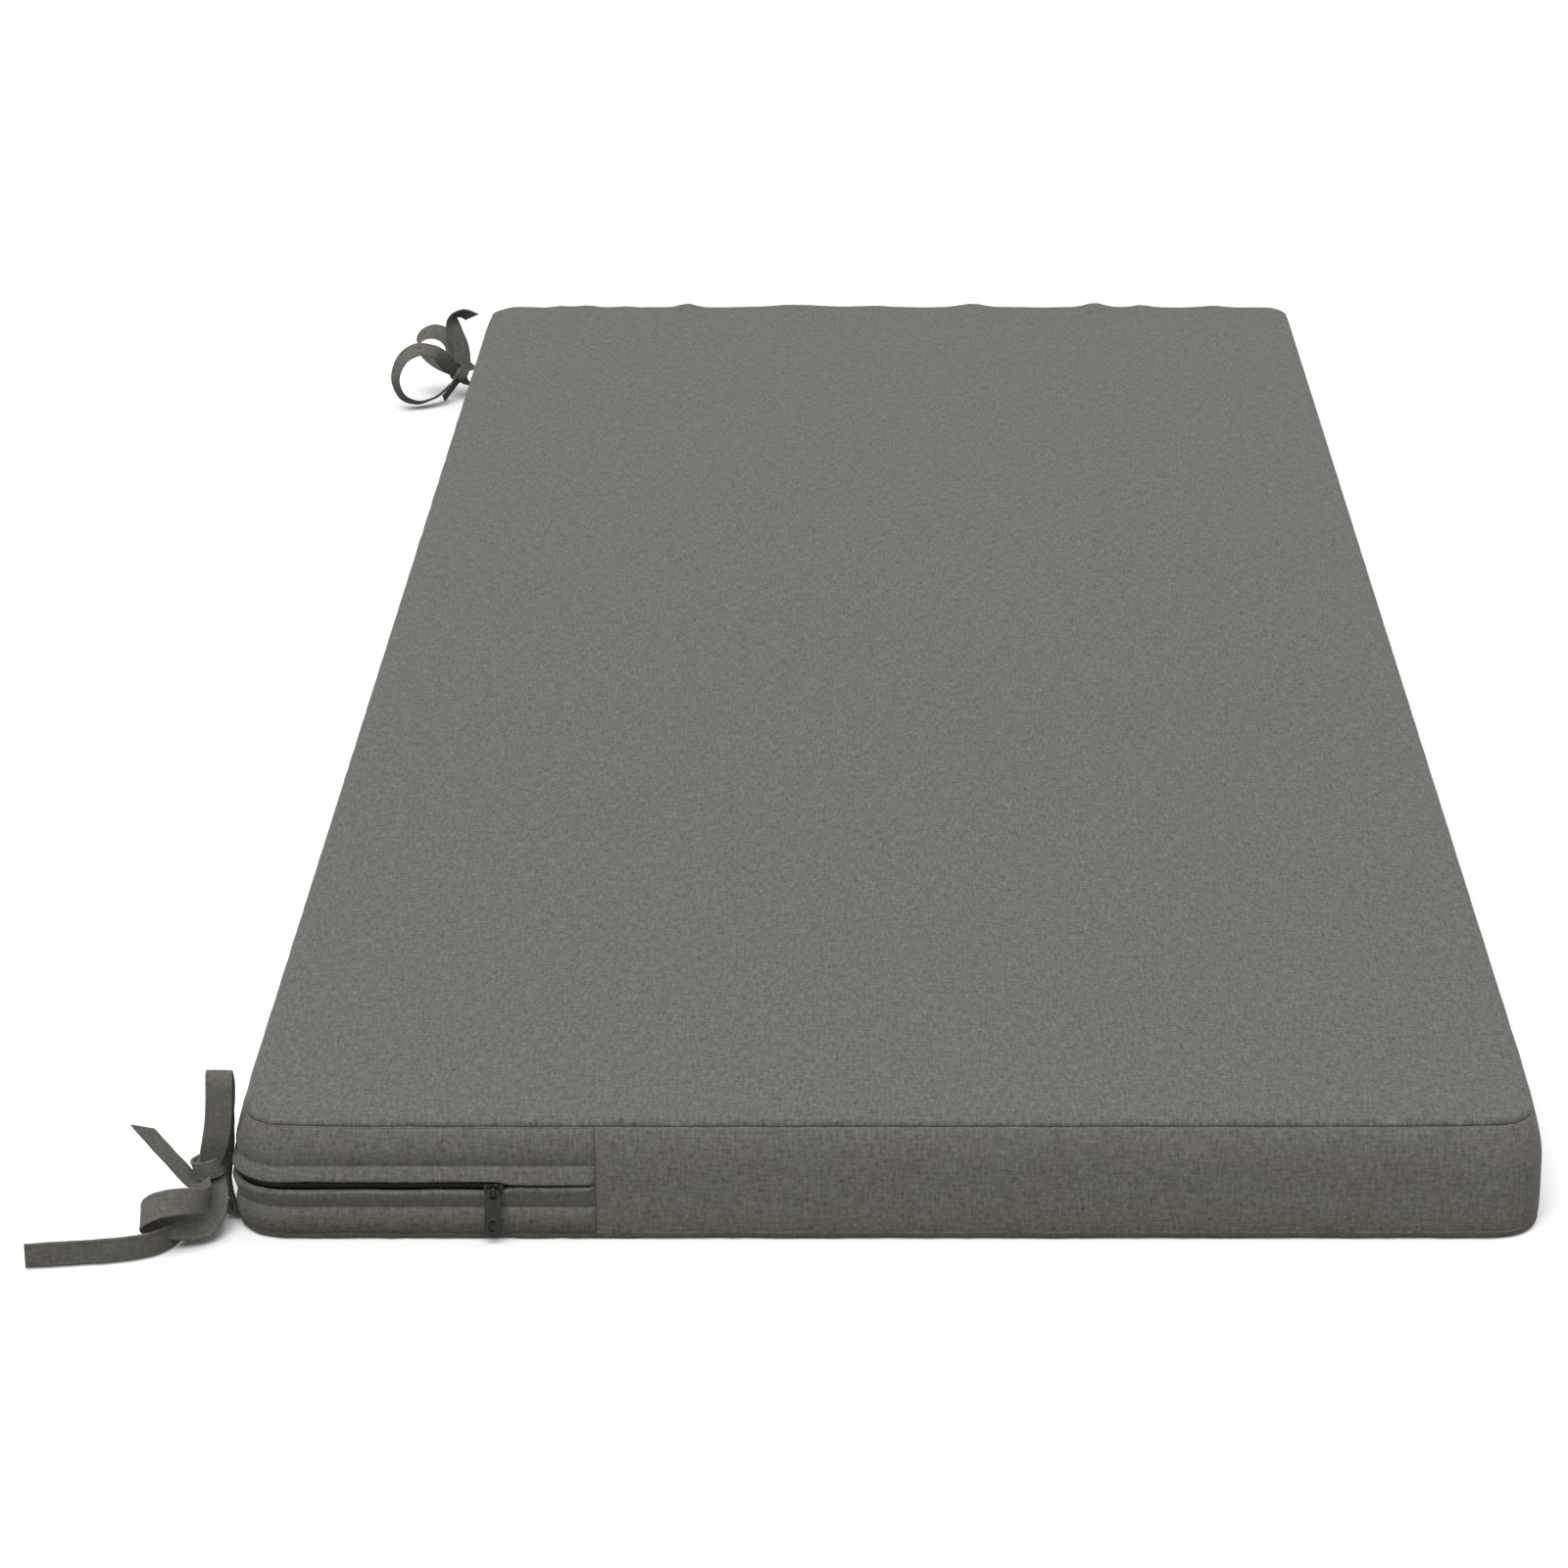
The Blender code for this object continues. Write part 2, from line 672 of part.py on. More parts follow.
NEAR_FLOOR_TAIL = (
    (-0.6, 0.8, -3.0, 1.0, 0.0, 0.0, 0.8),
    (-1.2, 1.2, -8.0, 1.0, 0.0, 0.0, 0.8),
    (-2.6, -2.6, -13.0, 0.93, -0.1, 0.2, 0.9),
    (-4.6, -9.4, -17.0, 0.65, -0.3, 0.6, 1.0),
    (-7.8, -17.6, -18.8, 0.3, -0.1, 0.95, 1.0),
    (-12.4, -25.4, -19.0, 0.1, 0.0, 1.0, 1.0),
    (-18.6, -31.6, -19.0, 0.05, 0.0, 1.0, 1.0),
    (-26.4, -35.2, -19.0, 0.0, 0.0, 1.0, 1.0),
    (-35.4, -37.4, -19.0, 0.0, 0.0, 1.0, 1.0),
    (-45.0, -38.8, -19.0, 0.0, 0.0, 1.0, 1.0),
    (-55.0, -40.2, -19.0, 0.0, 0.0, 1.0, 1.0),
    (-65.0, -41.6, -19.0, 0.0, 0.0, 1.0, 1.0),
)

NEAR_LOW_STRAND = (
    (14.35, 5.1, -22.7, 0.0, 1.0, 0.0, 0.97),
    (11.6, 5.1, -22.7, 0.0, 1.0, 0.0, 0.97),
    (8.8, 5.1, -22.75, 0.0, 1.0, 0.0, 0.97),
    (5.0, 4.8, -20.9, 0.1, 0.99, 0.0, 1.0),
    (1.2, 4.6, -18.6, 0.35, 0.94, 0.0, 1.0),
    (-0.4, 4.0, -13.0, 0.8, 0.6, 0.0, 0.95),
    (-0.2, 2.6, -7.0, 0.95, 0.3, 0.0, 0.8),
    (0.0, 1.2, -1.5, 1.0, 0.0, 0.0, 0.75),
)

FAR_KNOT = (-266.0, 557.0, 16.0)

FAR_HIGH_STRAND = (
    (20.4, 21.0, -14.15, 0.0, 1.0, 0.0, 1.0),
    (17.6, 21.0, -14.15, 0.0, 1.0, 0.0, 1.0),
    (15.0, 20.8, -14.0, 0.0, 1.0, 0.0, 1.0),
    (13.0, 19.0, -10.6, -0.25, 0.92, 0.05, 1.0),
    (11.6, 16.6, -5.6, -0.42, 0.83, 0.12, 1.0),
    (9.0, 11.5, 1.0, -0.65, 0.65, 0.3, 1.0),
    (5.0, 5.5, 4.0, -0.6, 0.5, 0.6, 0.9),
    (0.8, 1.0, 2.0, -0.5, 0.4, 0.75, 0.75),
)

FAR_LOW_STRAND = (
    (20.35, 21.1, -14.2, 0.0, 1.0, 0.0, 0.97),
    (17.6, 21.1, -14.2, 0.0, 1.0, 0.0, 0.97),
    (14.8, 21.0, -14.2, 0.0, 1.0, 0.0, 0.97),
    (9.6, 18.2, -13.0, -0.35, 0.93, 0.0, 1.0),
    (5.0, 11.0, -10.4, -0.8, 0.6, 0.0, 0.9),
    (1.6, 4.4, -5.5, -0.95, 0.3, 0.1, 0.8),
    (0.4, 0.8, -0.5, -1.0, 0.1, 0.0, 0.75),
)

FAR_ROUND_LOOP = (
    (0.8, 0.8, 2.0, 0.5, 0.4, 0.7, 0.75),
    (-3.6, -4.6, 4.6, 0.55, 0.3, 0.7, 0.9),
    (-8.2, -10.6, 11.8, 0.45, 0.5, 0.65, 1.0),
    (-13.8, -16.0, 18.2, 0.1, 0.83, 0.5, 1.0),
    (-22.8, -20.4, 20.8, -0.25, 0.80, 0.54, 1.0),
    (-32.0, -25.0, 16.0, -0.45, 0.8, 0.35, 1.0),
    (-36.6, -27.4, 4.4, -0.55, 0.83, 0.0, 1.0),
    (-32.8, -25.6, -7.6, -0.5, 0.8, -0.28, 1.0),
    (-23.6, -21.6, -12.5, -0.3, 0.85, -0.42, 1.0),
    (-13.4, -15.8, -10.6, -0.1, 0.93, -0.3, 1.0),
    (-6.6, -9.0, -6.4, 0.1, 0.95, -0.2, 0.9),
    (-1.2, -2.6, -3.0, 0.3, 0.9, -0.1, 0.75),
)

FAR_BACK_LOOP = (
    (-0.6, 0.6, 1.6, 0.6, 0.6, 0.4, 0.75),
    (-3.6, 3.6, 7.6, 0.5, 0.7, 0.5, 0.9),
    (-6.2, 5.6, 15.8, 0.35, 0.75, 0.55, 1.0),
    (-10.0, 6.6, 23.0, 0.3, 0.75, 0.6, 1.0),
    (-16.0, 7.2, 25.8, 0.1, 0.85, 0.5, 1.0),
    (-21.6, 7.2, 22.6, -0.1, 0.9, 0.4, 1.0),
    (-23.4, 7.0, 16.0, -0.15, 0.9, 0.35, 1.0),
    (-20.4, 6.4, 9.8, -0.1, 0.9, 0.4, 1.0),
    (-14.0, 5.0, 5.4, 0.1, 0.9, 0.4, 1.0),
    (-7.4, 3.2, 2.4, 0.2, 0.9, 0.4, 0.9),
    (-1.0, 0.8, -0.6, 0.3, 0.9, 0.2, 0.75),
)

FAR_RISING_END = (
    (1.6, 1.2, 0.0, 1.0, 0.2, 0.0, 0.75),
    (2.2, 2.4, 7.0, 1.0, 0.3, 0.0, 0.95),
    (1.0, 3.6, 16.0, 0.97, 0.2, 0.0, 1.0),
    (-2.0, 4.2, 24.6, 0.9, 0.4, 0.1, 1.0),
    (-3.4, 5.0, 31.0, 0.7, 0.65, 0.1, 1.0),
    (-1.6, 5.8, 35.7, 0.35, 0.85, -0.3, 1.0),
    (3.8, 6.4, 36.2, 0.1, 0.64, -0.76, 1.0),
    (11.2, 6.6, 33.0, 0.0, 0.5, -0.86, 1.0),
)

FAR_SHORT_END = (
    (0.6, -1.0, -0.6, 0.3, 0.9, -0.3, 0.8),
    (-2.4, -5.6, -4.6, 0.25, 0.92, -0.3, 0.95),
    (-6.2, -10.2, -9.4, 0.2, 0.93, -0.3, 1.0),
    (-9.6, -14.6, -12.8, 0.2, 0.93, -0.3, 1.0),
)

# The crumpled inside of each knot: centre from the knot and half-sizes, in millimetres
NEAR_CORE = ((-0.8, -0.4, -2.0), (4.6, 3.4, 6.0))
FAR_CORE = ((0.2, 0.0, 0.0), (4.0, 3.8, 4.6))
CORE_SIDES = 8
CORE_RINGS = 5

# The turn of tape round each knot: centre from the knot and half-sizes in millimetres,
# the direction of its axis and the share of the tape's width that shows
NEAR_BAND = ((-0.9, -0.6, -1.4), (5.5, 4.5), (-0.22, 0.0, 1.0), 0.80)
FAR_BAND = ((0.2, -0.2, 0.0), (5.0, 5.2), (-0.66, -0.25, 0.71), 0.62)
BAND_POINTS = 14
BAND_EDGE_SHARE = 0.96

# How far one corner of a cut end lies behind the other, and over how many times that
# length the slant dies out
NEAR_FREE_END_CUT = 0.0095
FAR_RISING_END_CUT = 0.0060
FAR_SHORT_END_CUT = 0.0030
END_CUT_FADE = 2.5
TAPE_EDGE_SHARE = 0.45


def smooth_samples(rows, step_mm=TAPE_STEP_MM):
    """Samples of a smooth curve through the rows, a few for each stretch."""
    table = np.array(rows, float)
    padded = np.vstack([2 * table[0] - table[1], table, 2 * table[-1] - table[-2]])
    samples = []
    for i in range(len(table) - 1):
        before, start, end, after = padded[i:i + 4]
        length = np.linalg.norm((end - start)[:3])
        count = max(1, round(length / step_mm))
        for k in range(count):
            t = k / count
            curve = 2 * start + (end - before) * t
            curve += (2 * before - 5 * start + 4 * end - after) * t ** 2
            curve += (3 * start - before - 3 * end + after) * t ** 3
            samples.append(curve / 2)
    samples.append(table[-1])
    return samples


def tape_frames(rows, origin_mm):
    """Centre, across and through directions and width at each sample of a strand."""
    samples = smooth_samples(rows)
    centres = [Vector(sample[:3]) for sample in samples]
    frames = []
    for i, sample in enumerate(samples):
        ahead = centres[min(i + 1, len(centres) - 1)] - centres[max(i - 1, 0)]
        ahead.normalize()
        across = Vector(sample[3:6])
        across = (across - ahead * across.dot(ahead)).normalized()
        through = ahead.cross(across)
        centre = (centres[i] + Vector(origin_mm)) * MM
        frames.append((centre, across, through, ahead, float(sample[6])))
    return frames


def make_tape(name, rows, origin_mm, material, end_cut=0.0):
    """A strand of tape. `end_cut` is how far its far corner lies behind its near one."""
    frames = tape_frames(rows, origin_mm)
    edge = TAPE_THICKNESS * TAPE_EDGE_SHARE
    fade = END_CUT_FADE * end_cut
    points = []
    for centre, across, through, ahead, share in frames:
        half = TAPE_WIDTH * share / 2
        thick = TAPE_THICKNESS / 2
        section = ((-half, 0.0), (-half + edge, -thick), (half - edge, -thick),
                   (half, 0.0), (half - edge, thick), (-half + edge, thick))
        left = (centre - frames[-1][0]).length
        shear = end_cut * max(0.0, 1.0 - left / fade) if fade else 0.0
        for a, b in section:
            slide = shear * (a / (2 * half) + 0.5)
            points.append(centre + across * a + through * b - ahead * slide)
    faces = []
    size = 6
    for step in range(len(frames) - 1):
        here = step * size
        there = here + size
        for i in range(size):
            j = (i + 1) % size
            faces.append((here + i, here + j, there + j, there + i))
    last = (len(frames) - 1) * size
    faces.append(tuple(range(size)))
    faces.append(tuple(range(last, last + size)))
    return make_object(name, points, faces, material, TIE_SMOOTH_ANGLE)


def make_knot_band(name, knot_mm, band, material):
    """The turn of tape round the knot, as a closed band."""
    centre_mm, half_sizes, axis, share = band
    axis = Vector(axis).normalized()
    first = Vector((1.0, 0.0, 0.0))
    first = (first - axis * first.dot(axis)).normalized()
    second = axis.cross(first)
    middle = (Vector(knot_mm) + Vector(centre_mm)) * MM
    half = TAPE_WIDTH * share / 2
    thick = TAPE_THICKNESS / 2
    outer_half = half * BAND_EDGE_SHARE
    section = ((-half, -1), (half, -1), (outer_half, 1), (-outer_half, 1))
    points = []
    for i in range(BAND_POINTS):
        angle = 2 * math.pi * i / BAND_POINTS
        out = first * (half_sizes[0] * math.cos(angle)) + second * (half_sizes[1] * math.sin(angle))
        outward = out.normalized() * thick
        for along, through in section:
            points.append(middle + out * MM + axis * along + outward * through)
    faces = []
    for i in range(BAND_POINTS):
        here = 4 * i
        there = 4 * ((i + 1) % BAND_POINTS)
        for k in range(4):
            j = (k + 1) % 4
            faces.append((here + k, here + j, there + j, there + k))
    return make_object(name, points, faces, material, TIE_SMOOTH_ANGLE)


def make_knot_core(name, knot_mm, core, material):
    """The crumpled tape inside the knot, as one rounded lump."""
    centre_mm, (a, b, c) = core
    middle = Vector(knot_mm) + Vector(centre_mm)
    points = [(middle + Vector((0, 0, -c))) * MM]
    for ring in range(1, CORE_RINGS + 1):
        lift = math.pi * ring / (CORE_RINGS + 1)
        spread = math.sin(lift)
        for i in range(CORE_SIDES):
            angle = 2 * math.pi * (i + 0.5) / CORE_SIDES
            offset = (a * spread * math.cos(angle), b * spread * math.sin(angle), -c * math.cos(lift))
            points.append((middle + Vector(offset)) * MM)
    points.append((middle + Vector((0, 0, c))) * MM)
    faces = []
    top = len(points) - 1
    last = 1 + (CORE_RINGS - 1) * CORE_SIDES
    for i in range(CORE_SIDES):
        j = (i + 1) % CORE_SIDES
        faces.append((0, 1 + j, 1 + i))
        for ring in range(CORE_RINGS - 1):
            here = 1 + ring * CORE_SIDES
            there = here + CORE_SIDES
            faces.append((here + i, here + j, there + j, there + i))
        faces.append((last + i, last + j, top))
    return make_object(name, points, faces, material, TIE_SMOOTH_ANGLE)


def make_near_tie(material):
    """The near tie: an upright loop, a side loop, a free end and a tail on the floor."""
    pieces = [
        make_knot_core("core", NEAR_KNOT, NEAR_CORE, material),
        make_tape("standing_loop", NEAR_STANDING_LOOP, NEAR_KNOT, material),
        make_tape("low_strand", NEAR_LOW_STRAND, NEAR_KNOT, material),
        make_tape("side_loop", NEAR_SIDE_LOOP, NEAR_KNOT, material),
        make_tape("floor_tail", NEAR_FLOOR_TAIL, NEAR_KNOT, material),
        make_tape("free_end", NEAR_FREE_END, NEAR_KNOT, material, NEAR_FREE_END_CUT),
        make_knot_band("band", NEAR_KNOT, NEAR_BAND, material),
    ]
    return fill_hollows(join_all("tie_front", pieces))


def make_far_tie(material):
    """The far tie: a round loop, a loop behind it, a rising end and a short end."""
    pieces = [
        make_knot_core("core", FAR_KNOT, FAR_CORE, material),
        make_tape("high_strand", FAR_HIGH_STRAND, FAR_KNOT, material),
        make_tape("low_strand", FAR_LOW_STRAND, FAR_KNOT, material),
        make_tape("round_loop", FAR_ROUND_LOOP, FAR_KNOT, material),
        make_tape("back_loop", FAR_BACK_LOOP, FAR_KNOT, material),
        make_tape("rising_end", FAR_RISING_END, FAR_KNOT, material, FAR_RISING_END_CUT),
        make_tape("short_end", FAR_SHORT_END, FAR_KNOT, material, FAR_SHORT_END_CUT),
        make_knot_band("band", FAR_KNOT, FAR_BAND, material),
    ]
    return fill_hollows(join_all("tie_back", pieces))


# ---------------------------------------------------------------- the whole part

def main():
    clear_scene()
    cover = make_material("cover_cloth", (0.165, 0.165, 0.150), 0.92)
    facing = make_material("facing_cloth", (0.150, 0.145, 0.135), 0.92)
    facing_low = make_material("facing_cloth_low", (0.145, 0.140, 0.130), 0.92)
    tape = make_material("tie_tape", (0.130, 0.127, 0.118), 0.90)
    coil = make_material("zip_coil", (0.012, 0.012, 0.012), 0.45)
    slider_metal = make_material("slider_metal", (0.045, 0.045, 0.043), 0.38, 0.85)
    pull_metal = make_material("pull_metal", (0.040, 0.040, 0.039), 0.40, 0.85)
    tape_far = make_material("tie_tape_far", (0.128, 0.125, 0.116), 0.90)
    make_cushion(cover)
    make_facings(facing, facing_low)
    make_chain(coil)
    make_slider(slider_metal)
    make_pull(pull_metal)
    make_near_tie(tape)
    make_far_tie(tape_far)


main()
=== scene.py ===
import math

import bmesh
import bpy
import numpy as np
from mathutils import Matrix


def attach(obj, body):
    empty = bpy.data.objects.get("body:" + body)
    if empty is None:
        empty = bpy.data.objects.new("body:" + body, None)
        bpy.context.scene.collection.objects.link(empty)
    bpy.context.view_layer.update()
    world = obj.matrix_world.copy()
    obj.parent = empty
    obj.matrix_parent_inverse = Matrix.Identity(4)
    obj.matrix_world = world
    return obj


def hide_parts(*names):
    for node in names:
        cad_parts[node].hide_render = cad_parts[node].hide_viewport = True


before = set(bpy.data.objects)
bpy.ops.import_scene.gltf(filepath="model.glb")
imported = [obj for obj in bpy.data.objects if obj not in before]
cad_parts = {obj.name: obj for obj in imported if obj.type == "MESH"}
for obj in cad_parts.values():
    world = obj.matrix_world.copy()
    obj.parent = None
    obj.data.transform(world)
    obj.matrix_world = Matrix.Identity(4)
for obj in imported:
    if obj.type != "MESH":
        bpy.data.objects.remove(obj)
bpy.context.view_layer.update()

# A bench cushion in a sewn cover of plain heather cloth. Everything is in metres in the
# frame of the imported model: +Z up, the near short side at -Y, the zip and ties at -X.
# Tables of sections and strands are in millimetres.

MM = 0.001

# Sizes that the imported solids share, apart from the two seams' insets and the pull
LENGTH = 1.200
WIDTH = 0.500
CORNER_R = 0.020
BOTTOM_SEAM_Z = 0.00185
TOP_SEAM_Z = 0.0464
BOTTOM_SEAM_INSET = 0.0008
TOP_SEAM_INSET = 0.0034
CORNER_PULL = 0.0016
CORNER_PULL_REACH = 0.034
CORNER_PULL_RISE = (0.026, 0.046)
ZIP_END_X = -0.1112
SLOT_Z = 0.0224
SLOT_HALF = 0.00165
CLOSED_SLOT_HALF = 0.0003
SLIDER_X = -0.1500
SLOT_CLOSES_AT_X = -0.1420
FACING_RECESS = 0.0011
CHAIN_RECESS = 0.0034
TAPE_WIDTH = 0.0103
TAPE_THICKNESS = 0.0012

WRINKLE_SEED = 11
random = np.random.default_rng(WRINKLE_SEED)


# ---- mixing nodes

class Reading:
    """A number that changes over a surface. Signs between readings add Math nodes."""

    def __init__(self, mixer, socket):
        self.mixer = mixer
        self.socket = socket

    def maths(self, operation, first, second=0.0):
        return self.mixer.node("ShaderNodeMath", {"operation": operation},
                               {0: first, 1: second})

    def __add__(self, other):
        return self.maths("ADD", self, other)

    __radd__ = __add__

    def __sub__(self, other):
        return self.maths("SUBTRACT", self, other)

    def __rsub__(self, other):
        return self.maths("SUBTRACT", other, self)

    def __mul__(self, other):
        return self.maths("MULTIPLY", self, other)

    __rmul__ = __mul__

    def __abs__(self):
        return self.maths("ABSOLUTE", self)

    def wave(self, pitch):
        """A sine of the reading that repeats every `pitch`."""
        return self.maths("SINE", self * (2 * math.pi / pitch))

    def swing(self, share):
        """A reading from 0 to 1, made to swing round nought by `share`."""
        return (self - 0.5) * share


class Mixer:
    """A tree of nodes, added one at a time."""

    def __init__(self, tree):
        self.tree = tree

    def node(self, kind, settings, sockets, output=0):
        """Add one node, its settings first, then the values or links of its sockets."""
        made = self.tree.nodes.new(kind)
        for name, value in settings.items():
            if name == "stops":
                self.set_stops(made.color_ramp, value)
            else:
                setattr(made, name, value)
        for key, value in sockets.items():
            self.feed(made.inputs[key], value)
        return Reading(self, made.outputs[output])

    def set_stops(self, ramp, stops):
        for element, (place, colour) in zip(ramp.elements, stops):
            element.position = place
            element.color = (*colour, 1.0)

    def feed(self, socket, value):
        if isinstance(value, Reading):
            self.tree.links.new(value.socket, socket)
        elif socket.type == "RGBA":
            socket.default_value = (*value, 1.0)
        else:
            socket.default_value = value


class Finish(Mixer):
    """A surface finish, mixed from nodes in its own material."""

    def __init__(self, name, roughness, **uniform):
        self.material = bpy.data.materials.new(name)
        self.material.use_nodes = True
        super().__init__(self.material.node_tree)
        self.shader = self.tree.nodes["Principled BSDF"]
        self.shader.inputs["Roughness"].default_value = roughness
        for socket, value in uniform.items():
            self.shader.inputs[socket.replace("_", " ")].default_value = value

    def pattern(self, across=1.0, along=1.0, shift=0.0):
        """The cloth's own plane in metres, stretched along its two threads."""
        flat = self.node("ShaderNodeUVMap", {"uv_map": "pattern"}, {})
        return self.node("ShaderNodeMapping", {}, {
            "Vector": flat,
            "Location": (shift, shift, 0.0),
            "Scale": (across, along, 1.0),
        })

    def threads(self):
        """How far a point lies across and along the cloth."""
        across = self.node("ShaderNodeSeparateXYZ", {}, {0: self.pattern()})
        return across, Reading(self, across.socket.node.outputs["Y"])

    def cloud(self, place, scale, detail=2.0, roughness=0.5):
        """Soft noise from 0 to 1."""
        return self.node("ShaderNodeTexNoise", {}, {
            "Vector": place, "Scale": scale, "Detail": detail, "Roughness": roughness,
        }, "Fac")

    def lumps(self, across, along, shift=0.0, detail=2.0, roughness=0.5):
        """Noise in the cloth's plane, with so many lumps to the metre each way."""
        return self.cloud(self.pattern(across, along, shift), 1.0, detail, roughness)

    def solid_place(self):
        """Where a point lies in the whole object."""
        return self.node("ShaderNodeTexCoord", {}, {}, "Object")

    def spread(self, reading, low, high):
        """The reading's range from `low` to `high`, opened to 0 to 1."""
        return self.node("ShaderNodeMapRange", {"interpolation_type": "SMOOTHSTEP"}, {
            "Value": reading, "From Min": low, "From Max": high,
        })

    def mix(self, share, first, second):
        """One colour laid over another by `share`."""
        return self.node("ShaderNodeMix", {"data_type": "RGBA"},
                         {0: share, 6: first, 7: second}, 2)

    def times(self, colour, other):
        """Two colours multiplied, channel by channel."""
        return self.node("ShaderNodeVectorMath", {"operation": "MULTIPLY"},
                         {0: colour, 1: other})

    def tint(self, colour, reading):
        """A colour made lighter or darker by the reading."""
        grey = self.node("ShaderNodeCombineXYZ", {}, {0: reading, 1: reading, 2: reading})
        return self.times(colour, grey)

    def colour(self, value):
        self.feed(self.shader.inputs["Base Color"], value)

    def rough(self, value):
        self.feed(self.shader.inputs["Roughness"], value)

    def relief(self, height, depth):
        """Fine relief of the surface, `depth` metres from its lows to its highs."""
        bump = self.node("ShaderNodeBump", {}, {"Distance": depth, "Height": height})
        self.feed(self.shader.inputs["Normal"], bump)


# ---- camera, light, floor

# The photograph's viewpoint, a little above the near short side
CAMERA_PLACE = (0.0, -2.153, 0.779)
CAMERA_DIP = 20.90
SENSOR_WIDTH = 36.0
LENS = 104.085
LENS_SHIFT = -0.0672

# Each soft light: name, strength, angle that it fills, tilt from straight down, turn
SOFT_LIGHTS = (("front_light", 3.2, 50.0, 30.0, -8.0),
               ("back_light", 0.6, 60.0, -42.0, 10.0))
# The surround from straight below, at 0, to straight above, at 1: dim, then pale
SURROUND = ((0.35, (0.18, 0.18, 0.18)), (0.60, (0.48, 0.48, 0.48)))

FLOOR_REACH = 8.0
FLOOR_DROP = 0.0004
FLOOR_TINT = (0.84, 0.84, 0.84)


def set_camera():
    lens = bpy.data.cameras.new("camera")
    lens.sensor_width = SENSOR_WIDTH
    lens.lens = LENS
    lens.shift_x = LENS_SHIFT
    camera = bpy.data.objects.new("camera", lens)
    camera.location = CAMERA_PLACE
    camera.rotation_euler = (math.radians(90.0 - CAMERA_DIP), 0.0, 0.0)
    bpy.context.scene.collection.objects.link(camera)
    bpy.context.scene.camera = camera


def set_surround():
    world = bpy.data.worlds.new("surround")
    bpy.context.scene.world = world
    world.use_nodes = True
    sky = Mixer(world.node_tree)
    way = sky.node("ShaderNodeTexCoord", {}, {}, "Generated")
    height = sky.node("ShaderNodeSeparateXYZ", {}, {0: way}, "Z")
    share = sky.node("ShaderNodeMapRange", {}, {"Value": height, "From Min": -1.0})
    shade = sky.node("ShaderNodeValToRGB", {"stops": SURROUND}, {0: share})
    sky.feed(sky.tree.nodes["Background"].inputs["Color"], shade)


def set_lights():
    """A wide soft light in front and above, and a weak one behind."""
    for name, strength, spread, tilt, turn in SOFT_LIGHTS:
        lamp = bpy.data.lights.new(name, "SUN")
        lamp.energy = strength
        lamp.angle = math.radians(spread)
        light = bpy.data.objects.new(name, lamp)
        light.rotation_euler = (math.radians(tilt), 0.0, math.radians(turn))
        bpy.context.scene.collection.objects.link(light)
    bpy.context.scene.view_settings.view_transform = "Standard"


def make_floor(finish):
    """The floor that the cushion lies on. It sends no light back on to the cloth."""
    mesh = bpy.data.meshes.new("floor")
    corners = [(x * FLOOR_REACH, y * FLOOR_REACH, 0.0)
               for x, y in ((-1, -1), (1, -1), (1, 1), (-1, 1))]
    mesh.from_pydata(corners, [], [(0, 1, 2, 3)])
    mesh.materials.append(finish)
    floor = bpy.data.objects.new("floor", mesh)
    bpy.context.scene.collection.objects.link(floor)
    floor.location.z = -FLOOR_DROP
    floor.visible_diffuse = False


# ---- finishes

def toned(base, shares):
    return tuple(channel * share for channel, share in zip(base, shares))


# The two yarns' tones beside the cloth's own; an olive tint low on the sides, partly the
# cloth's tone and partly painted shade; and painted shade darker towards the floor
WARM_YARN = (1.035, 0.985, 0.955)
COOL_YARN = (0.975, 1.012, 1.02)
WARM_TAPE = (1.03, 0.985, 0.95)
LOW_TONE_AND_SHADE_TINT = (1.0, 0.985, 0.86)
LOW_TONE_AND_SHADE_TINT_BELOW = 0.0240
# Painted shade: the cloth darker towards the floor below this height, by up to this share
PAINTED_SHADE_BELOW = 0.0100
PAINTED_SHADE_SHARE = 0.16

# The weave's pitch and its relief
THREAD_PITCH = 0.00055
WEAVE_DEPTH = 0.00018


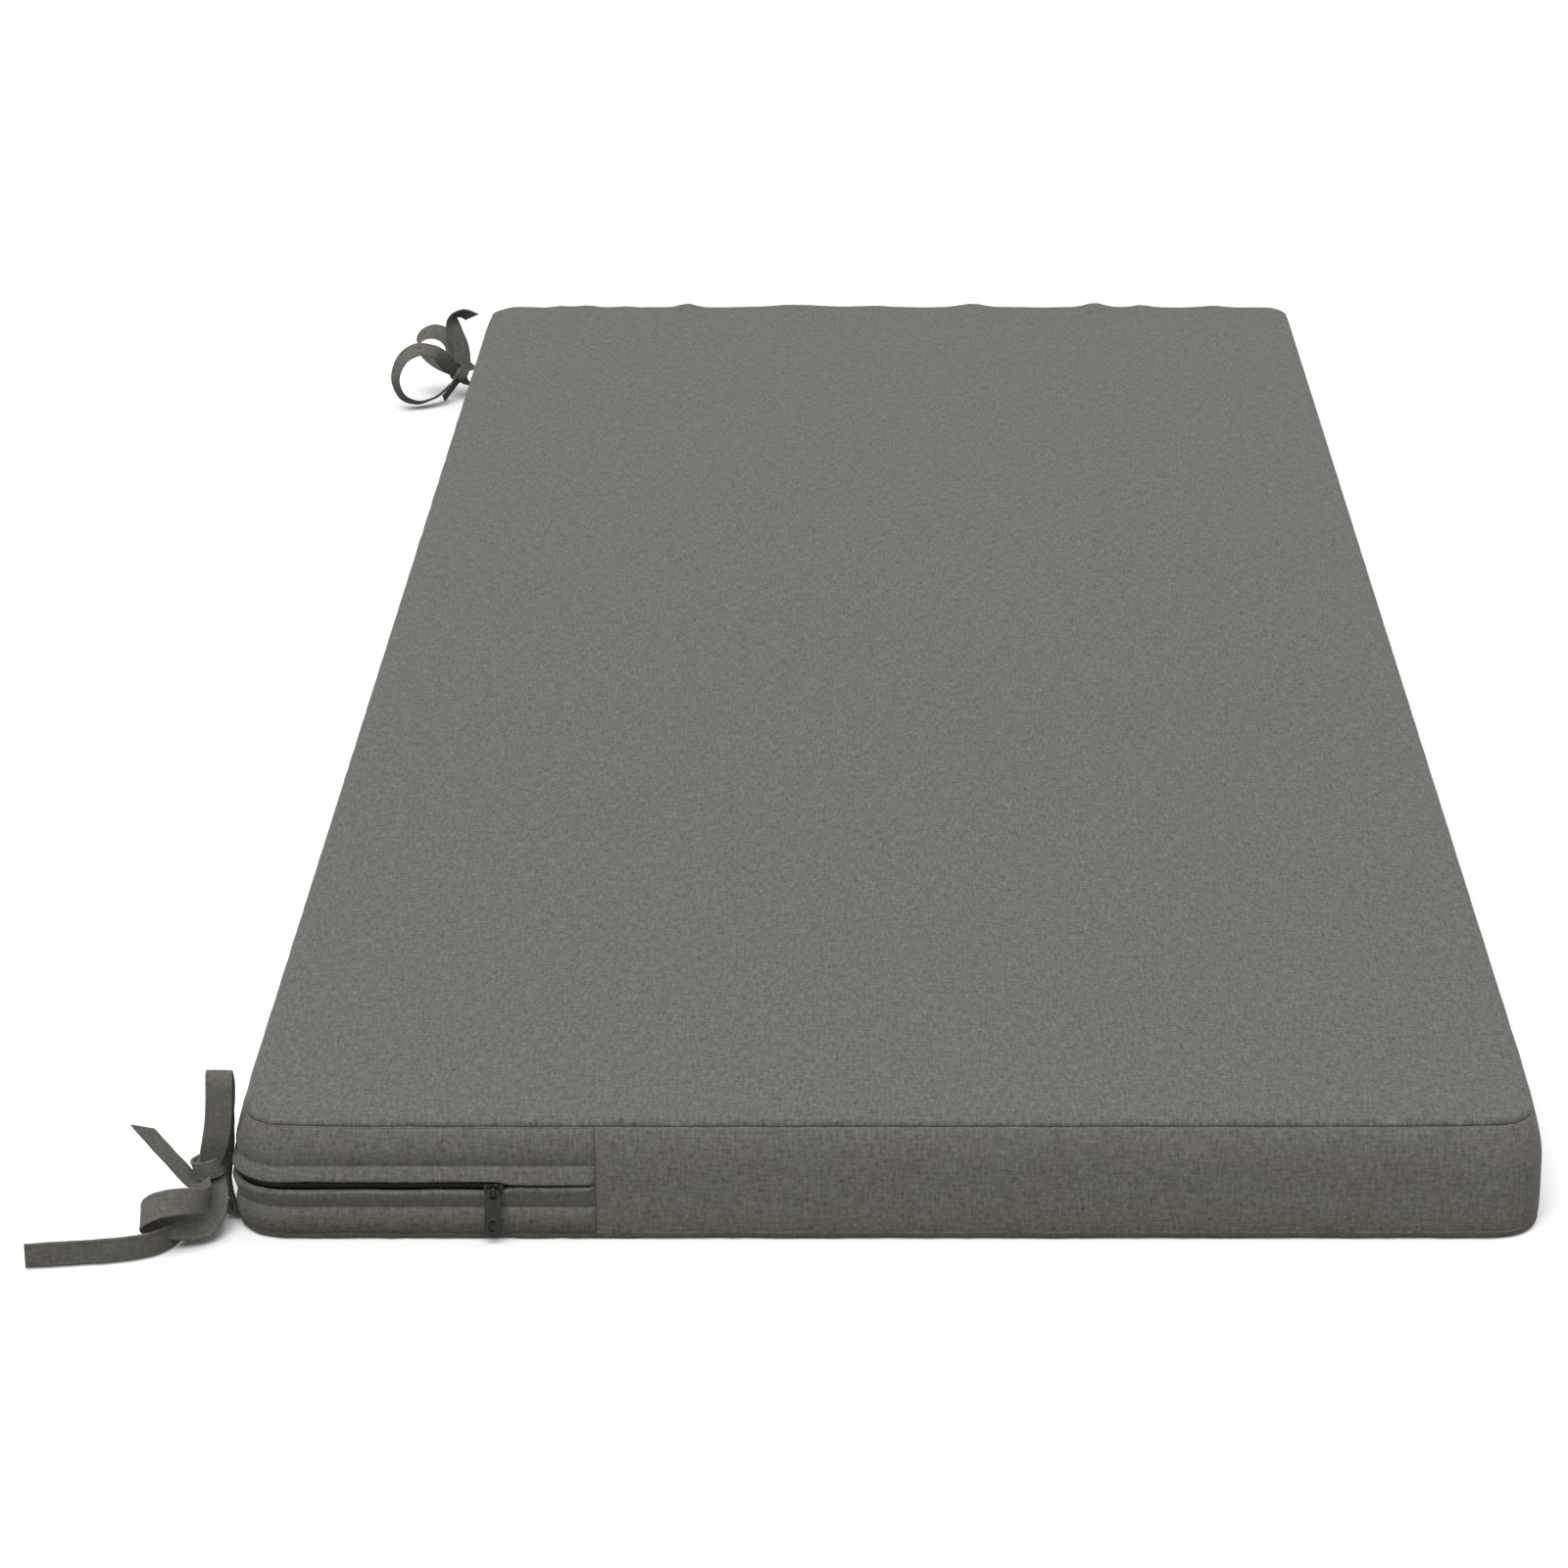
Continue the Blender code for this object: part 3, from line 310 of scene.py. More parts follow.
def heather_cloth(name, base, brown, grain):
    """Plain weave in melange yarn: two mixed greys, short streaks and pale specks."""
    cloth = Finish(name, 0.93, Sheen_Weight=0.10, Sheen_Roughness=0.55,
                   Specular_IOR_Level=0.15)
    across, along = cloth.threads()
    over = cloth.spread(across.wave(2 * THREAD_PITCH) * along.wave(2 * THREAD_PITCH),
                        -0.25, 0.25)
    thread_up = abs(across.wave(4 * THREAD_PITCH) * 0.5) + 0.5
    thread_side = abs(along.wave(4 * THREAD_PITCH) * 0.5) + 0.5
    weave = thread_up * over + thread_side * (1 - over)
    warp_yarn = cloth.lumps(950.0, 150.0, roughness=0.6)
    weft_yarn = cloth.lumps(150.0, 950.0, 3.0, roughness=0.6)
    slubs = cloth.lumps(520.0, 560.0, 7.0, roughness=0.6)
    mottle = cloth.lumps(170.0, 150.0, 21.0)
    patches = cloth.lumps(46.0, 60.0, 1.0, 3.0, 0.6)
    wide = cloth.lumps(9.0, 9.0, 5.0, 1.0)
    speck = cloth.spread(cloth.lumps(900.0, 1000.0, 13.0, 1.0), 0.64, 0.76)
    fleck = cloth.spread(cloth.lumps(800.0, 700.0, 29.0, 1.0), 0.36, 0.24)
    light = 1 + warp_yarn.swing(0.62 * grain) + weft_yarn.swing(0.50 * grain)
    light = light + slubs.swing(0.62 * grain) + mottle.swing(0.16 * grain)
    light = light + wide.swing(0.04) + (weave - 0.75) * 0.20
    light = light + speck * (0.34 * grain) - fleck * (0.26 * grain)
    lift = cloth.node("ShaderNodeSeparateXYZ", {}, {0: cloth.solid_place()}, "Z")
    # Painted shade: the cloth darker over its lowest centimetre, towards the floor
    light = light * (1 - cloth.spread(lift, PAINTED_SHADE_BELOW, 0.0005) * PAINTED_SHADE_SHARE)
    mixed = cloth.mix(cloth.spread(patches, 0.36, 0.64) * brown,
                      toned(base, COOL_YARN), toned(base, WARM_YARN))
    # An olive tint below mid-height: partly the cloth's own tone, partly painted shade
    low = cloth.spread(lift, LOW_TONE_AND_SHADE_TINT_BELOW, 0.0010)
    mixed = cloth.mix(low, mixed, cloth.times(mixed, LOW_TONE_AND_SHADE_TINT))
    cloth.colour(cloth.tint(mixed, light))
    cloth.rough(0.9 + warp_yarn.swing(0.12))
    fuzz = cloth.lumps(2600.0, 2600.0, 17.0)
    cloth.relief(weave * 0.5 + warp_yarn * 0.3 + weft_yarn * 0.3 + fuzz * 0.15
                 + slubs * 0.6, WEAVE_DEPTH)
    return cloth.material


def woven_tape(name, base, rib):
    """Narrow tape in the same yarn, with ribs across it and cords along it."""
    tape = Finish(name, 0.92, Sheen_Weight=0.12, Sheen_Roughness=0.5,
                  Specular_IOR_Level=0.18)
    across, along = tape.threads()
    ribs = along.wave(rib) * 0.5 + 0.5
    cords = across.wave(rib * 0.8) * 0.5 + 0.5
    warp_yarn = tape.lumps(950.0, 170.0, roughness=0.6)
    weft_yarn = tape.lumps(170.0, 950.0, 6.0, roughness=0.6)
    slubs = tape.lumps(520.0, 520.0, 4.0, roughness=0.6)
    speck = tape.spread(tape.lumps(900.0, 900.0, 9.0, 1.0), 0.64, 0.76)
    patches = tape.lumps(60.0, 60.0, 2.0)
    light = 1 + warp_yarn.swing(0.7) + weft_yarn.swing(0.5) + slubs.swing(0.7)
    light = light + (ribs * cords - 0.25) * 0.12 + speck * 0.3
    mixed = tape.mix(tape.spread(patches, 0.35, 0.65) * 0.6, base, toned(base, WARM_TAPE))
    tape.colour(tape.tint(mixed, light))
    tape.relief(ribs * cords * 0.4 + warp_yarn * 0.35 + slubs * 0.5, 0.00016)
    return tape.material


def sewing_thread(name, base):
    """Twisted polyester thread."""
    thread = Finish(name, 0.62, Specular_IOR_Level=0.3)
    across, along = thread.threads()
    twist = (along + across * 0.6).wave(0.0006) * 0.5 + 0.5
    dust = thread.lumps(700.0, 700.0)
    thread.colour(thread.tint(base, 0.85 + twist * 0.2 + dust.swing(0.3)))
    thread.relief(twist, 0.00006)
    return thread.material


def nylon(name, base):
    """Dark moulded nylon of the zip's coil."""
    coil = Finish(name, 0.36, Specular_IOR_Level=0.5)
    dust = coil.cloud(coil.solid_place(), 900.0, 3.0)
    coil.colour(coil.tint(base, 0.7 + dust * 0.6))
    coil.rough(0.28 + dust * 0.25)
    coil.relief(dust, 0.00002)
    return coil.material


def painted_metal(name, base, worn):
    """Dark painted zinc with the paint rubbed thin in places."""
    metal = Finish(name, 0.40, Metallic=0.75, Specular_IOR_Level=0.5, Coat_Weight=0.2,
                   Coat_Roughness=0.25)
    spot = metal.solid_place()
    cast = metal.cloud(spot, 1400.0, 3.0)
    rubbed = metal.spread(metal.cloud(spot, 420.0, 3.0), 0.56, 0.72) * 0.55
    metal.colour(metal.tint(metal.mix(rubbed, base, worn), 0.8 + cast * 0.4))
    metal.rough(0.46 - rubbed * 0.2 + cast.swing(0.12))
    metal.relief(cast, 0.00004)
    return metal.material


def pale_floor(name):
    """Matt pale studio floor."""
    floor = Finish(name, 0.9, Specular_IOR_Level=0.05)
    mottle = floor.cloud(floor.solid_place(), 3.0)
    floor.colour(floor.tint(FLOOR_TINT, 0.995 + mottle * 0.01))
    return floor.material


# ---- making skins

class Skin:
    """A mesh built from patches of points, with the cloth's own plane for each point."""

    def __init__(self):
        self.points = []
        self.flat = []
        self.faces = []
        self.finishes = []

    def add(self, points, flat):
        """Add loose points and give back the number of the first."""
        first = len(self.points)
        self.points.extend(np.asarray(points, float).reshape(-1, 3).tolist())
        self.flat.extend(np.asarray(flat, float).reshape(-1, 2).tolist())
        return first

    def patch(self, points, flat, finish=0):
        """Add rows of points as a sheet of quads."""
        rows, columns = np.shape(points)[:2]
        first = self.add(points, flat)
        for row in range(rows - 1):
            start = first + row * columns
            for column in range(columns - 1):
                a = start + column
                self.faces.append((a, a + 1, a + 1 + columns, a + columns))
            self.finishes += [finish] * (columns - 1)

    def cap(self, ring, flat):
        """Close a ring of points with one face."""
        first = self.add(ring, flat)
        self.faces.append(tuple(range(first, first + len(ring))))
        self.finishes.append(0)

    def fan(self, ring, flat, middle, finish):
        """Close a ring of points with triangles to its middle."""
        first = self.add(ring, flat)
        centre = self.add([middle], [middle[:2]])
        for i in range(len(ring) - 1):
            self.faces.append((first + i, first + i + 1, centre))
            self.finishes.append(finish)

    def rod(self, rings, flats):
        """Add closed rings of points as a rod, and close its two ends."""
        rings = np.array(rings)
        flats = np.array(flats)
        self.patch(rings, flats)
        for end in (0, -1):
            self.cap(rings[end, :-1], flats[end, :-1])

    def build(self, name, finishes, sharp, weld=2e-6):
        """Make the object: weld the patches, turn the faces outward, smooth them."""
        mesh = bpy.data.meshes.new(name)
        mesh.from_pydata(self.points, [], self.faces)
        layer = mesh.uv_layers.new(name="pattern")
        corners = np.empty(len(mesh.loops), np.int32)
        mesh.loops.foreach_get("vertex_index", corners)
        layer.data.foreach_set("uv", np.array(self.flat)[corners].ravel())
        mesh.polygons.foreach_set("material_index", np.array(self.finishes, np.int32))
        editable = bmesh.new()
        editable.from_mesh(mesh)
        bmesh.ops.remove_doubles(editable, verts=editable.verts, dist=weld)
        bmesh.ops.recalc_face_normals(editable, faces=editable.faces)
        editable.to_mesh(mesh)
        editable.free()
        for finish in finishes:
            mesh.materials.append(finish)
        mesh.shade_smooth()
        mesh.set_sharp_from_angle(angle=math.radians(sharp))
        thing = bpy.data.objects.new(name, mesh)
        bpy.context.scene.collection.objects.link(thing)
        return thing


def ripples(count, shortest, longest):
    """A line of small hills, about -1 to 1: a function of the distance along it."""
    lengths = random.uniform(shortest, longest, count)
    phases = random.uniform(0.0, 2 * math.pi, count)
    shares = random.uniform(0.5, 1.0, count)
    shares /= np.sqrt((shares ** 2).sum() / 2) * 1.6

    def at(distance):
        angle = 2 * math.pi * np.asarray(distance)[..., None] / lengths + phases
        return (np.sin(angle) * shares).sum(-1)
    return at


def step_up(low, high, value):
    """0 at `low`, 1 at `high`, with a smooth step between them."""
    t = np.clip((np.asarray(value) - low) / (high - low), 0.0, 1.0)
    return t * t * (3 - 2 * t)


def beside(columns, value):
    """Columns of numbers with one more column, of one value or one for each row."""
    return np.column_stack([columns, np.broadcast_to(value, len(columns))])


def walked(points):
    """The distance walked along a line of points, at each of them."""
    steps = np.linalg.norm(np.diff(points, axis=0), axis=1)
    return np.concatenate([[0.0], np.cumsum(steps)])


# ---- outline of the pad

class Outline:
    """Stations round the pad, clockwise from above, and the plan points at any inset."""

    def __init__(self, stations):
        table = np.array(stations, float)
        self.run_x, self.turn_x, self.run_y, self.turn_y = table.T
        self.outer = self.at(0.0)
        self.distance = walked(self.outer)

    def at(self, inset, sharpest=0.002):
        inset = np.broadcast_to(inset, len(self.run_x))
        radius = np.maximum(CORNER_R - inset, sharpest)
        x = self.run_x * (WIDTH / 2 - inset - radius) + self.turn_x * radius
        y = self.run_y * (LENGTH / 2 - inset - radius) + self.turn_y * radius
        return np.stack([x, y], axis=1)


HALF_RUN_X = WIDTH / 2 - CORNER_R
HALF_RUN_Y = LENGTH / 2 - CORNER_R
QUARTER_STEPS = 12
# Which side of the pad: the sign of its X or Y
LEFT = NEAR = -1.0
RIGHT = FAR = 1.0


def short_side(places, side):
    """Stations at places along X, on the near or the far side."""
    return [(x / HALF_RUN_X, 0.0, side, side) for x in places]


def long_side(places, side):
    """Stations at places along Y, on the left or the right side."""
    return [(side, side, y / HALF_RUN_Y, 0.0) for y in places]


def corner(sign_x, sign_y, from_short_side):
    """Stations round a corner, as the run comes from a short side or from a long one."""
    stations = []
    for step in range(QUARTER_STEPS + 1):
        turn = math.pi / 2 * step / QUARTER_STEPS
        along = math.sin(turn) if from_short_side else math.cos(turn)
        across = math.cos(turn) if from_short_side else math.sin(turn)
        stations.append((sign_x, sign_x * along, sign_y, sign_y * across))
    return stations


def band_inset(height):
    """How far the band lies inside its widest outline: it swells between the seams."""
    middle = (BOTTOM_SEAM_Z + TOP_SEAM_Z) / 2
    half = (TOP_SEAM_Z - BOTTOM_SEAM_Z) / 2
    share = np.abs((height - middle) / half)
    return np.where(height > middle, TOP_SEAM_INSET * share ** 3,
                    BOTTOM_SEAM_INSET * share ** 5)


def corner_pull(outline, height):
    """How far the near corners of the top are drawn in by their seams."""
    x, y = outline.outer.T
    from_corner = np.hypot(WIDTH / 2 - np.abs(x), LENGTH / 2 + y)
    near = np.exp(-(from_corner / CORNER_PULL_REACH) ** 2)
    return CORNER_PULL * near * step_up(*CORNER_PULL_RISE, height)


# Puckers of the far top rim and dips of the near bottom rim: place along X, rise and
# half-width, in millimetres
FAR_RIM_PUCKERS = (
    (-205, 0.9, 6), (-189, 1.1, 7), (-166, 0.7, 6), (-126, 2.4, 6.5), (-57, 1.6, 22),
    (-10, 1, 12), (52, 2.2, 11), (128, 2.9, 8), (157, 1.5, 6), (202, 0.9, 7))
NEAR_RIM_DIPS = (
    (-216, 0.55, 9), (-186, 0.5, 8), (-158, 0.45, 6), (-134, 0.6, 6), (-104, 0.55, 16),
    (-30, 0.45, 20), (60, 0.4, 24), (130, 0.45, 12), (175, 0.5, 8), (218, 0.45, 7))


def soft_bumps(table, place):
    """Rises of a table along a line, in metres."""
    total = np.zeros_like(place)
    for at, rise, half in table:
        total += rise * np.exp(-((place / MM - at) / half) ** 2)
    return total * MM


# ---- the cover

# Section of the cover from the underside's edge to the band, in millimetres: inset,
# height, share of the bottom rim's dips
LOWER_RIM = (
    (34, 0, 0), (22, 0, 0), (14, 0, 0), (9, 0, 0), (6, 0, 0),
    (3.6, 0.02, 0.3), (2.2, 0.07, 0.7), (1.4, 0.18, 1), (0.88, 0.38, 1), (0.62, 0.7, 0.8),
    (0.55, 1.08, 0.5), (0.62, 1.5, 0.2), (0.98, 1.85, 0), (0.68, 2.08, 0), (0.58, 2.32, 0))
BAND_HEIGHTS = (2.5, 3.4, 4.4, 5.6, 7.2, 9, 11, 13, 15, 16.4, 16.6, 19.5, 22.4,
                25.5, 28.4, 28.6, 30.5, 32.5, 34.5, 36.5, 38.5, 40.2, 41.8, 43, 44,
                44.6, 45)
# Section of the top rim: inset, height, share of the puckers
UPPER_RIM = (
    (3.12, 45.34, 0), (3.38, 45.58, 0.05), (3.78, 45.76, 0.1), (3.5, 45.94, 0.2),
    (3.4, 46.2, 0.3), (3.42, 46.7, 0.5), (3.7, 47.25, 0.75), (4.4, 47.82, 0.95),
    (5.5, 48.22, 1), (7.2, 48.5, 1), (9.2, 48.7, 0.9), (12, 48.84, 0.78),
    (15.5, 48.95, 0.6), (19.5, 49.04, 0.42), (24, 49.12, 0.25), (30, 49.2, 0.1))
TOP_EDGE_INSET = 0.036
CROWN_LOW = 49.20
CROWN_RISE = 0.80

# Rows of the two rims that already lie on the band's side of their seams
ROWS_OVER_BOTTOM_SEAM = 3
ROWS_UNDER_TOP_SEAM = 2

# The recess under the zip's strips and the deeper one under its chain, up the band
FACING_FOOT = (2.3, 2.45)
FACING_HEAD = (44.8, 45.3)
CHAIN_FOOT = 16.5
CHAIN_HEAD = 28.5
# The same two recesses along X, beyond the zip's end and beyond the slot's
FACING_END = (-0.0008, 0.0003)
CHAIN_END = (0.010, 0.016)
# The band's foot, head, middle and half-height, and where its puckers are deepest
BAND_FOOT, BAND_HEAD = 1.8, 46.0
BAND_MIDDLE, BAND_HALF = 25.0, 20.0
LOWER_PUCKERS, UPPER_PUCKERS = 2.0, 45.8

# Stations round the pad: their pitch on the short and the long sides, and the close
# ones, in millimetres, where the zip's strips end
SHORT_PITCH = 0.0050
LONG_PITCH = 0.0078
ZIP_END_STEPS = (-1.6, -0.9, -0.3, 0.1, 0.5, 1.2)

# Small waves round the cover: how many are added up, the shortest and the longest
WAVES = {
    "upper_band": (9, 0.035, 0.080),
    "lower_band": (9, 0.030, 0.070),
    "top_seam": (14, 0.0085, 0.019),
    "bottom_seam": (14, 0.0085, 0.019),
    "panel": (14, 0.0095, 0.022),
    "wide": (9, 0.020, 0.045),
    "sway": (9, 0.025, 0.060),
}
PANEL_HILLS = ((7, 0.050, 0.120), (7, 0.060, 0.140))

# How far they and the seams move the cloth
SWAY = 0.00012
BAND_WAVE = 0.00028
TOP_SEAM_PUCKER = 0.00012
BOTTOM_SEAM_PUCKER = 0.00022
LOWER_RIM_PUCKER = 0.00016
UPPER_RIM_PUCKER = 0.00006
LOWER_RIM_LIFT = 0.00060
PANEL_PUCKER = 0.00008
PANEL_WAVE = 0.00020
PANEL_HILL = 0.00010
ZIP_END_PULL = 0.0005
ZIP_END_REACH = 0.0035
DIP_REACH = 0.012
RISE_REACH = 0.020
SEAM_FADE = 5.5
RIM_FADE = 9.0


def crown(x, y):
    """Height of the top panel away from its rim."""
    depth = np.minimum(WIDTH / 2 - np.abs(x), LENGTH / 2 - np.abs(y))
    return (CROWN_LOW + CROWN_RISE * step_up(0.030, 0.170, depth)) * MM


def side_places(half, pitch, extra=()):
    """Places along a straight side from one end to the other, both left out."""
    count = 2 * round(half / pitch)
    regular = [-half + 2 * half * i / count for i in range(1, count)]
    kept = [place for place in regular if all(abs(place - e) > pitch * 0.4 for e in extra)]
    return sorted(kept + list(extra))


def lap_waves(s):
    """The small waves at each station. Each one meets itself after a lap."""
    share = s / s[-1]
    waves = {}
    for name, sizes in WAVES.items():
        line = ripples(*sizes)
        waves[name] = line(s) * (1 - share) + line(s - s[-1]) * share
    return waves


class Cover:
    """Rows of points round the pad, from its underside up to its top panel."""

    def __init__(self, short, long):
        near = list(reversed(short))
        stations = short_side([x for x in near if x <= 0.0], NEAR)
        stations += corner(LEFT, NEAR, True) + long_side(long, LEFT)
        stations += corner(LEFT, FAR, False) + short_side(short, FAR)
        stations += corner(RIGHT, FAR, True) + long_side(reversed(long), RIGHT)
        stations += corner(RIGHT, NEAR, False)
        stations += short_side([x for x in near if x > 0.0], NEAR)
        self.outline = Outline(stations + stations[:1])
        self.s = self.outline.distance
        self.x, self.y = self.outline.outer.T
        self.waves = lap_waves(self.s)
        self.rows = []
        self.flats = []

    def add_row(self, inset, height, flat_v):
        plan = self.outline.at(inset + corner_pull(self.outline, height))
        self.rows.append(beside(plan, np.maximum(height, 0.0)))
        self.flats.append(beside(self.s, flat_v))

    def add_lower_rim(self):
        drop = soft_bumps(NEAR_RIM_DIPS, self.x)
        drop = drop * np.exp(-((LENGTH / 2 + self.y) / DIP_REACH) ** 2)
        waves = self.waves
        wander = waves["bottom_seam"] * LOWER_RIM_PUCKER + waves["sway"] * SWAY
        for inset_mm, height_mm, dip in LOWER_RIM:
            inset = inset_mm * MM + wander * step_up(16.0, 6.0, inset_mm)
            height = height_mm * MM + (LOWER_RIM_LIFT - drop) * dip
            self.add_row(inset, height, (height_mm - inset_mm) * MM)

    def add_band(self):
        zipped = 1 - step_up(*FACING_END, self.x - ZIP_END_X)
        opened = 1 - step_up(*CHAIN_END, self.x - SLOT_CLOSES_AT_X)
        seam_pull = np.exp(-((self.x - ZIP_END_X) / ZIP_END_REACH) ** 2)
        waves = self.waves
        for height_mm in BAND_HEIGHTS:
            height = height_mm * MM
            facing = zipped * step_up(*FACING_FOOT, height_mm)
            facing = facing * (1 - step_up(*FACING_HEAD, height_mm))
            inset = band_inset(height) + facing * FACING_RECESS
            if CHAIN_FOOT < height_mm < CHAIN_HEAD:
                inset = inset + opened * (CHAIN_RECESS - FACING_RECESS)
            belly = math.sin(math.pi * (height_mm - BAND_FOOT) / (BAND_HEAD - BAND_FOOT))
            upper = math.exp(-(UPPER_PUCKERS - height_mm) / SEAM_FADE)
            lower = math.exp(-(height_mm - LOWER_PUCKERS) / SEAM_FADE)
            tilt = (height_mm - BAND_MIDDLE) / BAND_HALF
            swell = waves["upper_band"] * (1 + tilt) + waves["lower_band"] * (1 - tilt)
            inset = inset + (1 - facing) * (
                (swell / 2 * BAND_WAVE + seam_pull * ZIP_END_PULL) * belly
                + waves["top_seam"] * TOP_SEAM_PUCKER * upper
                + waves["bottom_seam"] * BOTTOM_SEAM_PUCKER * lower)
            self.add_row(inset, height + waves["sway"] * SWAY * upper, height)

    def add_upper_rim(self):
        rise = soft_bumps(FAR_RIM_PUCKERS, self.x)
        rise = rise * np.exp(-((LENGTH / 2 - self.y) / RISE_REACH) ** 2)
        waves = self.waves
        hills = waves["panel"] * PANEL_PUCKER + waves["wide"] * PANEL_WAVE
        for inset_mm, height_mm, pucker in UPPER_RIM:
            near_seam = math.exp(-(inset_mm - 4.0) / RIM_FADE)
            grow = step_up(45.8, 48.0, height_mm)
            inset = inset_mm * MM + waves["top_seam"] * UPPER_RIM_PUCKER * near_seam
            height = height_mm * MM + rise * pucker + waves["sway"] * SWAY
            height = height + hills * near_seam * grow
            self.add_row(inset, height, (height_mm + inset_mm) * MM)

    def add_panel_edge(self):
        edge = self.outline.at(TOP_EDGE_INSET, 0.0)
        self.rows.append(beside(edge, crown(*edge.T)))


def add_panel(skin, short, long):
    """The middle of the top panel, inside its rim."""
    half_x = WIDTH / 2 - TOP_EDGE_INSET
    half_y = LENGTH / 2 - TOP_EDGE_INSET
    columns = np.array([-HALF_RUN_X, *short, HALF_RUN_X]) * (half_x / HALF_RUN_X)
    lines = np.array([-HALF_RUN_Y, *long, HALF_RUN_Y]) * (half_y / HALF_RUN_Y)
    x, y = np.meshgrid(columns, lines)
    edge = np.minimum(half_x - np.abs(x), half_y - np.abs(y))
    one_way, other_way = [ripples(*sizes) for sizes in PANEL_HILLS]
    hills = one_way(x + 0.4 * y) + other_way(y - 0.5 * x)
    z = crown(x, y) + hills * PANEL_HILL * step_up(0.0, 0.030, edge)
    skin.patch(np.dstack([x, y, z]), np.dstack([x, y]), 0)


def make_cover(panel_cloth, band_cloth, base_cloth):
    """The padded pad in its cover: underside, boxing band and crowned top panel."""
    zip_end = [ZIP_END_X + step * MM for step in ZIP_END_STEPS]
    short = side_places(HALF_RUN_X, SHORT_PITCH, zip_end + [-x for x in zip_end])
    long = side_places(HALF_RUN_Y, LONG_PITCH)
    made = Cover(short, long)
    made.add_lower_rim()
    made.add_band()
    made.add_upper_rim()
    made.add_panel_edge()
    rows = np.array(made.rows)
    first = len(LOWER_RIM) - ROWS_OVER_BOTTOM_SEAM
    last = len(LOWER_RIM) + len(BAND_HEIGHTS) + ROWS_UNDER_TOP_SEAM
    base, panel = rows[:first + 1], rows[last:]
    skin = Skin()
    skin.fan(rows[0], rows[0, :, :2], (0.0, 0.0, 0.0), 2)
    skin.patch(base, base[:, :, :2], 2)
    skin.patch(rows[first:last + 1], made.flats[first:last + 1], 1)
    skin.patch(panel, panel[:, :, :2], 0)
    add_panel(skin, short, long)
    cover = skin.build("cover", [panel_cloth, band_cloth, base_cloth], 80.0, 3e-6)
    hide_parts("cushion")
    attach(cover, "root")


# ---- the zip's strips

STITCH_PITCH = 0.0032
STITCH_LENGTH = 0.0025
UPPER_STITCH_Z = 0.0305
LOWER_STITCH_Z = 0.0134

# Section of the upper strip, in millimetres: height above the slot's edge or, from the
# stitch line up, above the underside; how far it stands proud of the band; whether the
# height is measured from the slot's edge; and the share of the stitches' pull
UPPER_STRIP = (
    (0.45, -0.1, 1, 0), (0.48, 0.4, 1, 0), (0.58, 1.05, 1, 0), (0.8, 1.58, 1, 0),
    (1.15, 1.9, 1, 0), (1.65, 1.96, 1, 0), (2.5, 1.72, 1, 0), (3.5, 1.38, 1, 0.1),
    (28.7, 0.9, 0, 0.2), (29.6, 0.46, 0, 0.5), (30.2, 0.1, 0, 0.8), (30.5, -0.16, 0, 1),
    (30.7, -0.26, 0, 1), (31, -0.2, 0, 0.8), (31.8, 0.1, 0, 0.5), (33, 0.44, 0, 0.2),
    (35, 0.78, 0, 0), (37.4, 0.94, 0, 0), (40, 0.86, 0, 0), (42.6, 0.62, 0, 0),
    (44.2, 0.34, 0, 0), (44.9, 0.1, 0, 0), (45.2, -0.16, 0, 0), (45.2, -0.75, 0, 0),
    (41, -0.75, 0, 0), (36, -0.75, 0, 0), (30.5, -0.75, 0, 0))
# Section of the lower strip, measured down from the slot's edge in the same way
LOWER_STRIP = (
    (0.28, -0.2, 1, 0), (0.26, 0.3, 1, 0), (0.16, 0.95, 1, 0), (-0.1, 1.48, 1, 0),
    (-0.5, 1.72, 1, 0), (-1.1, 1.72, 1, 0), (-2.6, 1.3, 1, 0), (-4.4, 0.76, 1, 0.1),
    (14.9, 0.26, 0, 0.3), (14.2, -0.04, 0, 0.8), (13.75, -0.26, 0, 1),
    (13.5, -0.18, 0, 0.9), (13.1, 0.06, 0, 0.7), (12.2, 0.46, 0, 0.3),
    (10.8, 0.82, 0, 0.1), (9, 0.96, 0, 0), (7.2, 0.86, 0, 0), (5.6, 0.66, 0, 0),
    (4.2, 0.4, 0, 0), (3.2, 0.12, 0, 0), (2.6, -0.08, 0, 0), (2.45, -0.2, 0, 0),
    (2.45, -0.75, 0, 0), (6, -0.75, 0, 0), (10, -0.75, 0, 0), (13.4, -0.75, 0, 0))
# The fold's back layer on either side: distance from the slot's edge, how far it is proud
FOLD_BACK = ((3.60, -0.80), (3.40, -1.35), (2.60, -1.68), (1.50, -1.70), (0.60, -1.50),
             (0.15, -0.90))

# How far waves, folds and stitches move a strip, and how far its ends tuck in. Rows of
# its section that are less proud than BACK_LAYER lie behind the band and stay flat
STRIP_END_X = ZIP_END_X - 0.0005
STRIP_SWAY = 0.00014
STRIP_FOLD = 0.00007
STRIP_BULGE = 0.00010
STRIP_RUMPLE = 0.00004
STITCH_DIMPLE = 0.00008
END_TUCK = 0.0004
BACK_LAYER = -0.6


def zip_outline(near_x, far_x, pitch):
    """Stations along the zip, from the near side round the left side to the far side."""
    def run(start, end):
        return np.linspace(start, end, round(abs(end - start) / pitch) + 1)

    stations = short_side(run(near_x, -HALF_RUN_X)[:-1], NEAR)
    stations += corner(LEFT, NEAR, True)
    stations += long_side(run(-HALF_RUN_Y, HALF_RUN_Y)[1:-1], LEFT)
    stations += corner(LEFT, FAR, False)
    return Outline(stations + short_side(run(-HALF_RUN_X, far_x)[1:], FAR))


def slot_half(outline):
    """Half the slot's height: open along the zip, closed beyond the slider."""
    x, y = outline.outer.T
    closed = step_up(SLIDER_X, SLOT_CLOSES_AT_X, x) * (y < 0.0)
    return SLOT_HALF + (CLOSED_SLOT_HALF - SLOT_HALF) * closed


